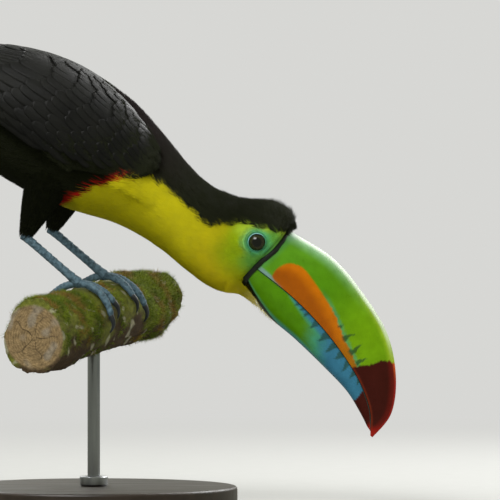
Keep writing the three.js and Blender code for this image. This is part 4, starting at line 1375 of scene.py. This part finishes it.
def make_foot(word, side):
    """A scaled leg with four padded toes round the perch, and their claws."""
    ankle, root = ankle_point(side), foot_root(side)

    def shank_radius(s, turn):
        joint = 0.9 * np.abs(2 * s - 1) ** 4
        front = 0.5 + 0.5 * np.sin(turn)
        heel = np.sqrt(np.clip(s / 0.04, 0.02, 1))
        plates = scutes(s + 0.01 * np.cos(turn), 11, 0.45) * (0.35 + 0.65 * front)
        return (TARSUS_RADIUS - 0.25 + joint + plates) * heel

    s = (1.06 * np.linspace(0, 1, 130) ** 1.15 - 0.06)[:, None]
    pieces = [tube(ankle + (root - ankle) * s, shank_radius, PERCH_AXIS)]
    for name, (reach, stray, plate_count) in TOES.items():
        toward = np.sign(reach)

        def toe_radius(s, turn):
            top = 0.5 + 0.5 * np.sin(turn) * toward * side
            pads = (0.22 * np.cos(s * 6 * np.pi) + 0.1) * (0.35 + 0.65 * (1 - top))
            end = np.sqrt(np.clip((1.02 - s) / 0.1, 0.12, 1))
            plates = scutes(s, plate_count, 0.4) * top**2
            return (TOE_RADIUS - 0.2 - 0.55 * s + pads + plates) * end

        def claw_radius(s, turn):
            slim = 1 - 0.28 * np.cos(turn) ** 2
            return (1.75 * (1 - s) ** 0.85 + 0.28) * slim * np.clip((1 - s) / 0.04 + 0.25, 0, 1)

        s = np.linspace(0, 1, 110)
        high = TOE_LIFT + 0.25
        path = on_perch(side * (FOOT_SPACING + stray * s), reach * s / high, high)
        pieces.append(tube(path, toe_radius, PERCH_AXIS * side))
        # The claw starts inside the toe, arches off the bark and brings its point back to it.
        s = np.linspace(0, 1, 60)
        turn = (reach + toward * ((CLAW_LENGTH + CLAW_INSIDE) * s - CLAW_INSIDE)) / TOE_LIFT
        arch = 1.7 * np.sin(np.pi * s) - 1.2 * s
        path = on_perch(side * (FOOT_SPACING + stray), turn, TOE_LIFT + arch)
        add_piece(f"nail_{name}_{word}", *tube(path, claw_radius, PERCH_AXIS * side, 24), CLAW,
                  "claw", (f"claw_{name}_{word}",))
    add_piece(f"leg_{word}", *joined(pieces), LEG, "leg_scales", (f"foot_{word}",))


# ---------------- perch and stand

BARK_BROWN = srgb("#3d3122")
BARK_GREEN = srgb("#5b5f24")
LICHEN = srgb("#8d8a72")
WOOD = srgb("#84704f")
WOOD_DARK = srgb("#5b4a33")
WOOD_SPLIT = srgb("#241b12")
WOOD_GREY = srgb("#7c766a")
MOSS_GREEN = srgb("#6c7a1f")
MOSS_DEEP = srgb("#4a5a16")
MOSS_BROWN = srgb("#7a5a2c")


def toe_clearance(off, turn):
    """0 under the toes, 1 well away from them."""
    away = np.abs(np.abs(off) - FOOT_SPACING)
    return np.maximum(smooth(away, 8, 16), smooth(np.radians(degrees_down(turn)), 2.0, 2.5))


def bark(off, turn, stand=0.0):
    """The perch's rough surface."""
    swell = 1.6 * np.sin(off / 17 + 2 * turn) + 1.1 * np.sin(3 * turn - off / 11)
    swell = swell * smooth(np.abs(off), FOOT_SPACING + 12, FOOT_SPACING + 34)
    place = np.stack([off * 0.25, PERCH_RADIUS * np.cos(turn), PERCH_RADIUS * np.sin(turn)], -1)
    rough = (0.55 * waver(place, 5, 31) + 0.35 * waver(place, 1.8, 32)
             + 0.2 * waver(place * [3, 1, 1], 1.1, 33))
    rough = rough * (0.25 + 0.75 * toe_clearance(off, turn)) - 0.35
    return on_perch(off, turn, PERCH_RADIUS + swell + rough + stand)


def make_perch():
    """The cut branch: bark between two sawn ends."""
    half = PERCH_LENGTH / 2
    off, turn = grid(np.linspace(-half, half, 190), turns(150))
    side = bark(off, turn)
    rings = [side]
    # Flat rings of wood run from each end's ragged edge to its pith.
    heart = PERCH_CENTRE + PERCH_AXIS * off[:, :1, None]
    for inward in np.linspace(0.97, 0.05, 24):
        rings.append(heart[-1:] + (side[-1:] - heart[-1:]) * inward)
        rings.insert(0, heart[:1] + (side[:1] - heart[:1]) * inward)
    points, faces = loft(np.concatenate(rings))
    out = points - PERCH_CENTRE
    off, up, ahead = (out @ axis for axis in (PERCH_AXIS, PERCH_UP, PERCH_AHEAD))
    radius = np.linalg.norm(out - off[:, None] * PERCH_AXIS, axis=-1)
    green = smooth(np.clip(up / PERCH_RADIUS, -1, 1) + 0.5 * waver(points, 9, 34), -0.6, 0.5)
    # The wood has dried and split from the pith outwards, and weathered to grey in patches.
    splits = np.sin(2.5 * np.arctan2(up, ahead) + 0.35 * waver(points, 5, 40))
    splits = smooth(np.abs(splits) * radius, 0.9, 0.2) * smooth(radius, 0, 3)
    wood = layered(
        WOOD,
        (WOOD_DARK, (0.5 + 0.5 * np.sin(radius * 3.6 + waver(points, 8, 36))) * 0.7),
        (WOOD_SPLIT, splits * smooth(radius, 19, 12) * 0.85),
        (WOOD_GREY, smooth(waver(points, 7, 41), 0, 0.9) * 0.6),
    )
    cut = smooth(np.abs(off), half - 0.25, half - 0.05)
    cut = cut * smooth(radius, PERCH_RADIUS - 1.2, PERCH_RADIUS - 2.6)
    paint = layered(
        BARK_BROWN,
        (BARK_GREEN, green),
        (LICHEN, smooth(waver(points, 6, 35), 0.75, 0.95) * 0.7),
        (wood, cut),
    )
    add_piece("mossy_perch", points, faces, BARK, "mossy_branch", ("perch_branch",), paint,
              crease=55)


def make_moss():
    half = PERCH_LENGTH / 2

    def weight(off, turn, points):
        patches = smooth(waver(points, 10, 39) + 1.1 * np.cos(turn), -0.7, 0.5)
        ends = smooth(np.abs(off), half, half - 3)
        return patches * ends * (0.05 + 0.95 * toe_clearance(off, turn))

    def height(off, turn):
        return 0.4 + 2.2 * toe_clearance(off, turn) * (0.5 + 0.5 * rng.random(len(off)))

    def paint(off, turn, points):
        return layered(MOSS_GREEN, (MOSS_DEEP, smooth(waver(points, 7, 37), -0.6, 0.6)),
                       (MOSS_BROWN, smooth(waver(points, 11, 38), 0.2, 0.8) * 0.8))

    # The moss's tufts are painted darker at the roots and lighter at the tips: painted shade.
    coat("moss", bark, (-half + 1, half - 1), (0, WHOLE_TURN), 6000, "mossy_branch", weight, paint,
         MOSS, barbs=4, length=3.2, width=0.38, splay=(1.2, 3.2), sink=0.6, stand=height, lift=0.8,
         swirl=1.5, tones=(0.7, 1.0, 1.3))


def make_stand():
    """The display stand's turned pieces, each on its own solid's box."""
    arc = np.linspace(0, np.pi / 2, 8)
    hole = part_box("stand_rod")[1][0] / MM + GAP
    for name, node, look, slot, bevel, inner, sides in (
        ("base_disc", "stand_base", STAND_WOOD, "stand_wood", 2.0, 0.4, 128),
        ("collar_ring", "stand_collar", STEEL, "stand_steel", 1.0, hole, 128),
        ("rod", "stand_rod", STEEL, "stand_steel", 0.3, 0.4, 48),
    ):
        (_, _, bottom), (radius, _, top) = np.array(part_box(node)) / MM
        # A rounded rim below and above, and the middle's straight wall.
        shorter, rise = bevel * (1 - np.sin(arc)), bevel * (1 - np.cos(arc))
        radii = np.concatenate([[inner], radius - shorter, radius - rise, [inner]])
        heights = np.concatenate([[bottom], bottom + rise, top - shorter, [top]])
        radii, turn = grid(radii, turns(sides))
        rings = [radii * np.cos(turn), radii * np.sin(turn), heights[:, None] + 0 * turn]
        add_piece(name, *wound(np.stack(rings, -1)), look, slot, (node,), crease=40)


# ---------------- stage, in metres

BACKDROP = [0.68, 0.68, 0.66, 1.0]
WORLD_TONE = [0.33, 0.34, 0.28, 1.0]
FLOOR_TONES = (0.4, 0.4, 0.39, 1), (0.43, 0.43, 0.42, 1)
FLOOR_RADIUS = 30.0
CAMERA, LENS = (0.100, -2.667, 0.165), 300
AIM = Vector((0.08, 0.0, 0.17))
# Soft rectangular lights: place, size, watts and whether surfaces mirror them.
LIGHTS = {
    "key": ((-0.95, -1.15, 2.1), (1.6, 1.4), 20, True),
    "glint": ((-0.62, -1.2, 1.75), (1.1, 0.75), 24, True),
    "culmen_sheen": ((0.82, 0.7, 0.92), (1.2, 0.8), 22, True),
    "front": ((0.3, -2.4, 0.33), (1.6, 0.6), 19, False),
    "back": ((-0.8, 1.6, 1.2), (1.2, 1.0), 14, True),
}


def make_floor():
    mesh = bpy.data.meshes.new("floor")
    ring = [(FLOOR_RADIUS * np.cos(a), FLOOR_RADIUS * np.sin(a), 0) for a in turns(96)]
    mesh.from_pydata(ring, [], [range(len(ring))])
    look, shader, add = new_material("pale_floor")
    place = add("TexCoord", out="Object")
    grain = add("TexNoise", {"Vector": place, "Scale": 60.0})
    tint = {0: grain, 6: FLOOR_TONES[0], 7: FLOOR_TONES[1]}
    feed(shader, {"Base Color": add("Mix", tint, 2, data_type="RGBA"), "Roughness": 0.8})
    # Far off the floor takes on the tone of the backdrop, so that no horizon shows.
    far = add("VectorMath", {0: place}, "Value", operation="LENGTH")
    far = add("MapRange", {0: far, 1: 0.3, 2: 1.5}, interpolation_type="SMOOTHSTEP")
    glow = add("Emission", {"Color": BACKDROP, "Strength": 1.0})
    mixed = add("MixShader", {0: far, 1: shader.outputs[0], 2: glow})
    feed(look.node_tree.nodes["Material Output"], {"Surface": mixed})
    mesh.materials.append(look)
    floor = placed("floor", mesh)
    floor.visible_glossy = False


def make_world():
    """A pale backdrop that lights the bird only dimly, so that its blacks stay black."""
    world = bpy.data.worlds.new("studio")
    world.use_nodes = True
    tree = world.node_tree
    add = node_maker(tree)
    feed(tree.nodes["Background"], {"Color": WORLD_TONE})
    seen = add("Background", {"Color": BACKDROP})
    ray = add("LightPath", out="Is Camera Ray")
    tones = {0: ray, 1: tree.nodes["Background"].outputs[0], 2: seen}
    feed(tree.nodes["World Output"], {"Surface": add("MixShader", tones)})
    bpy.context.scene.world = world


def make_stage():
    make_floor()
    make_world()
    for name, (place, size, watts, glossy) in LIGHTS.items():
        light = bpy.data.lights.new(name, "AREA")
        light.shape = "RECTANGLE"
        light.size, light.size_y = size
        light.energy = watts
        lamp = placed(name, light)
        lamp.location = place
        lamp.rotation_euler = (AIM - Vector(place)).to_track_quat("-Z", "Y").to_euler()
        lamp.visible_camera = False
        lamp.visible_glossy = glossy
    camera = bpy.data.cameras.new("camera")
    camera.lens = LENS
    camera.sensor_width = 36
    camera.clip_end = 60
    eye = placed("camera", camera)
    eye.location = CAMERA
    eye.rotation_euler = (np.pi / 2, 0, 0)
    bpy.context.scene.camera = eye
    bpy.context.scene.view_settings.view_transform = "Standard"


make_stage()
make_skin()
make_coat()
make_lids()
make_eyes()
make_bill()
make_tail()
for word, side in SIDES:
    make_wing(word, side)
    make_foot(word, side)
make_perch()
make_moss()
make_stand()
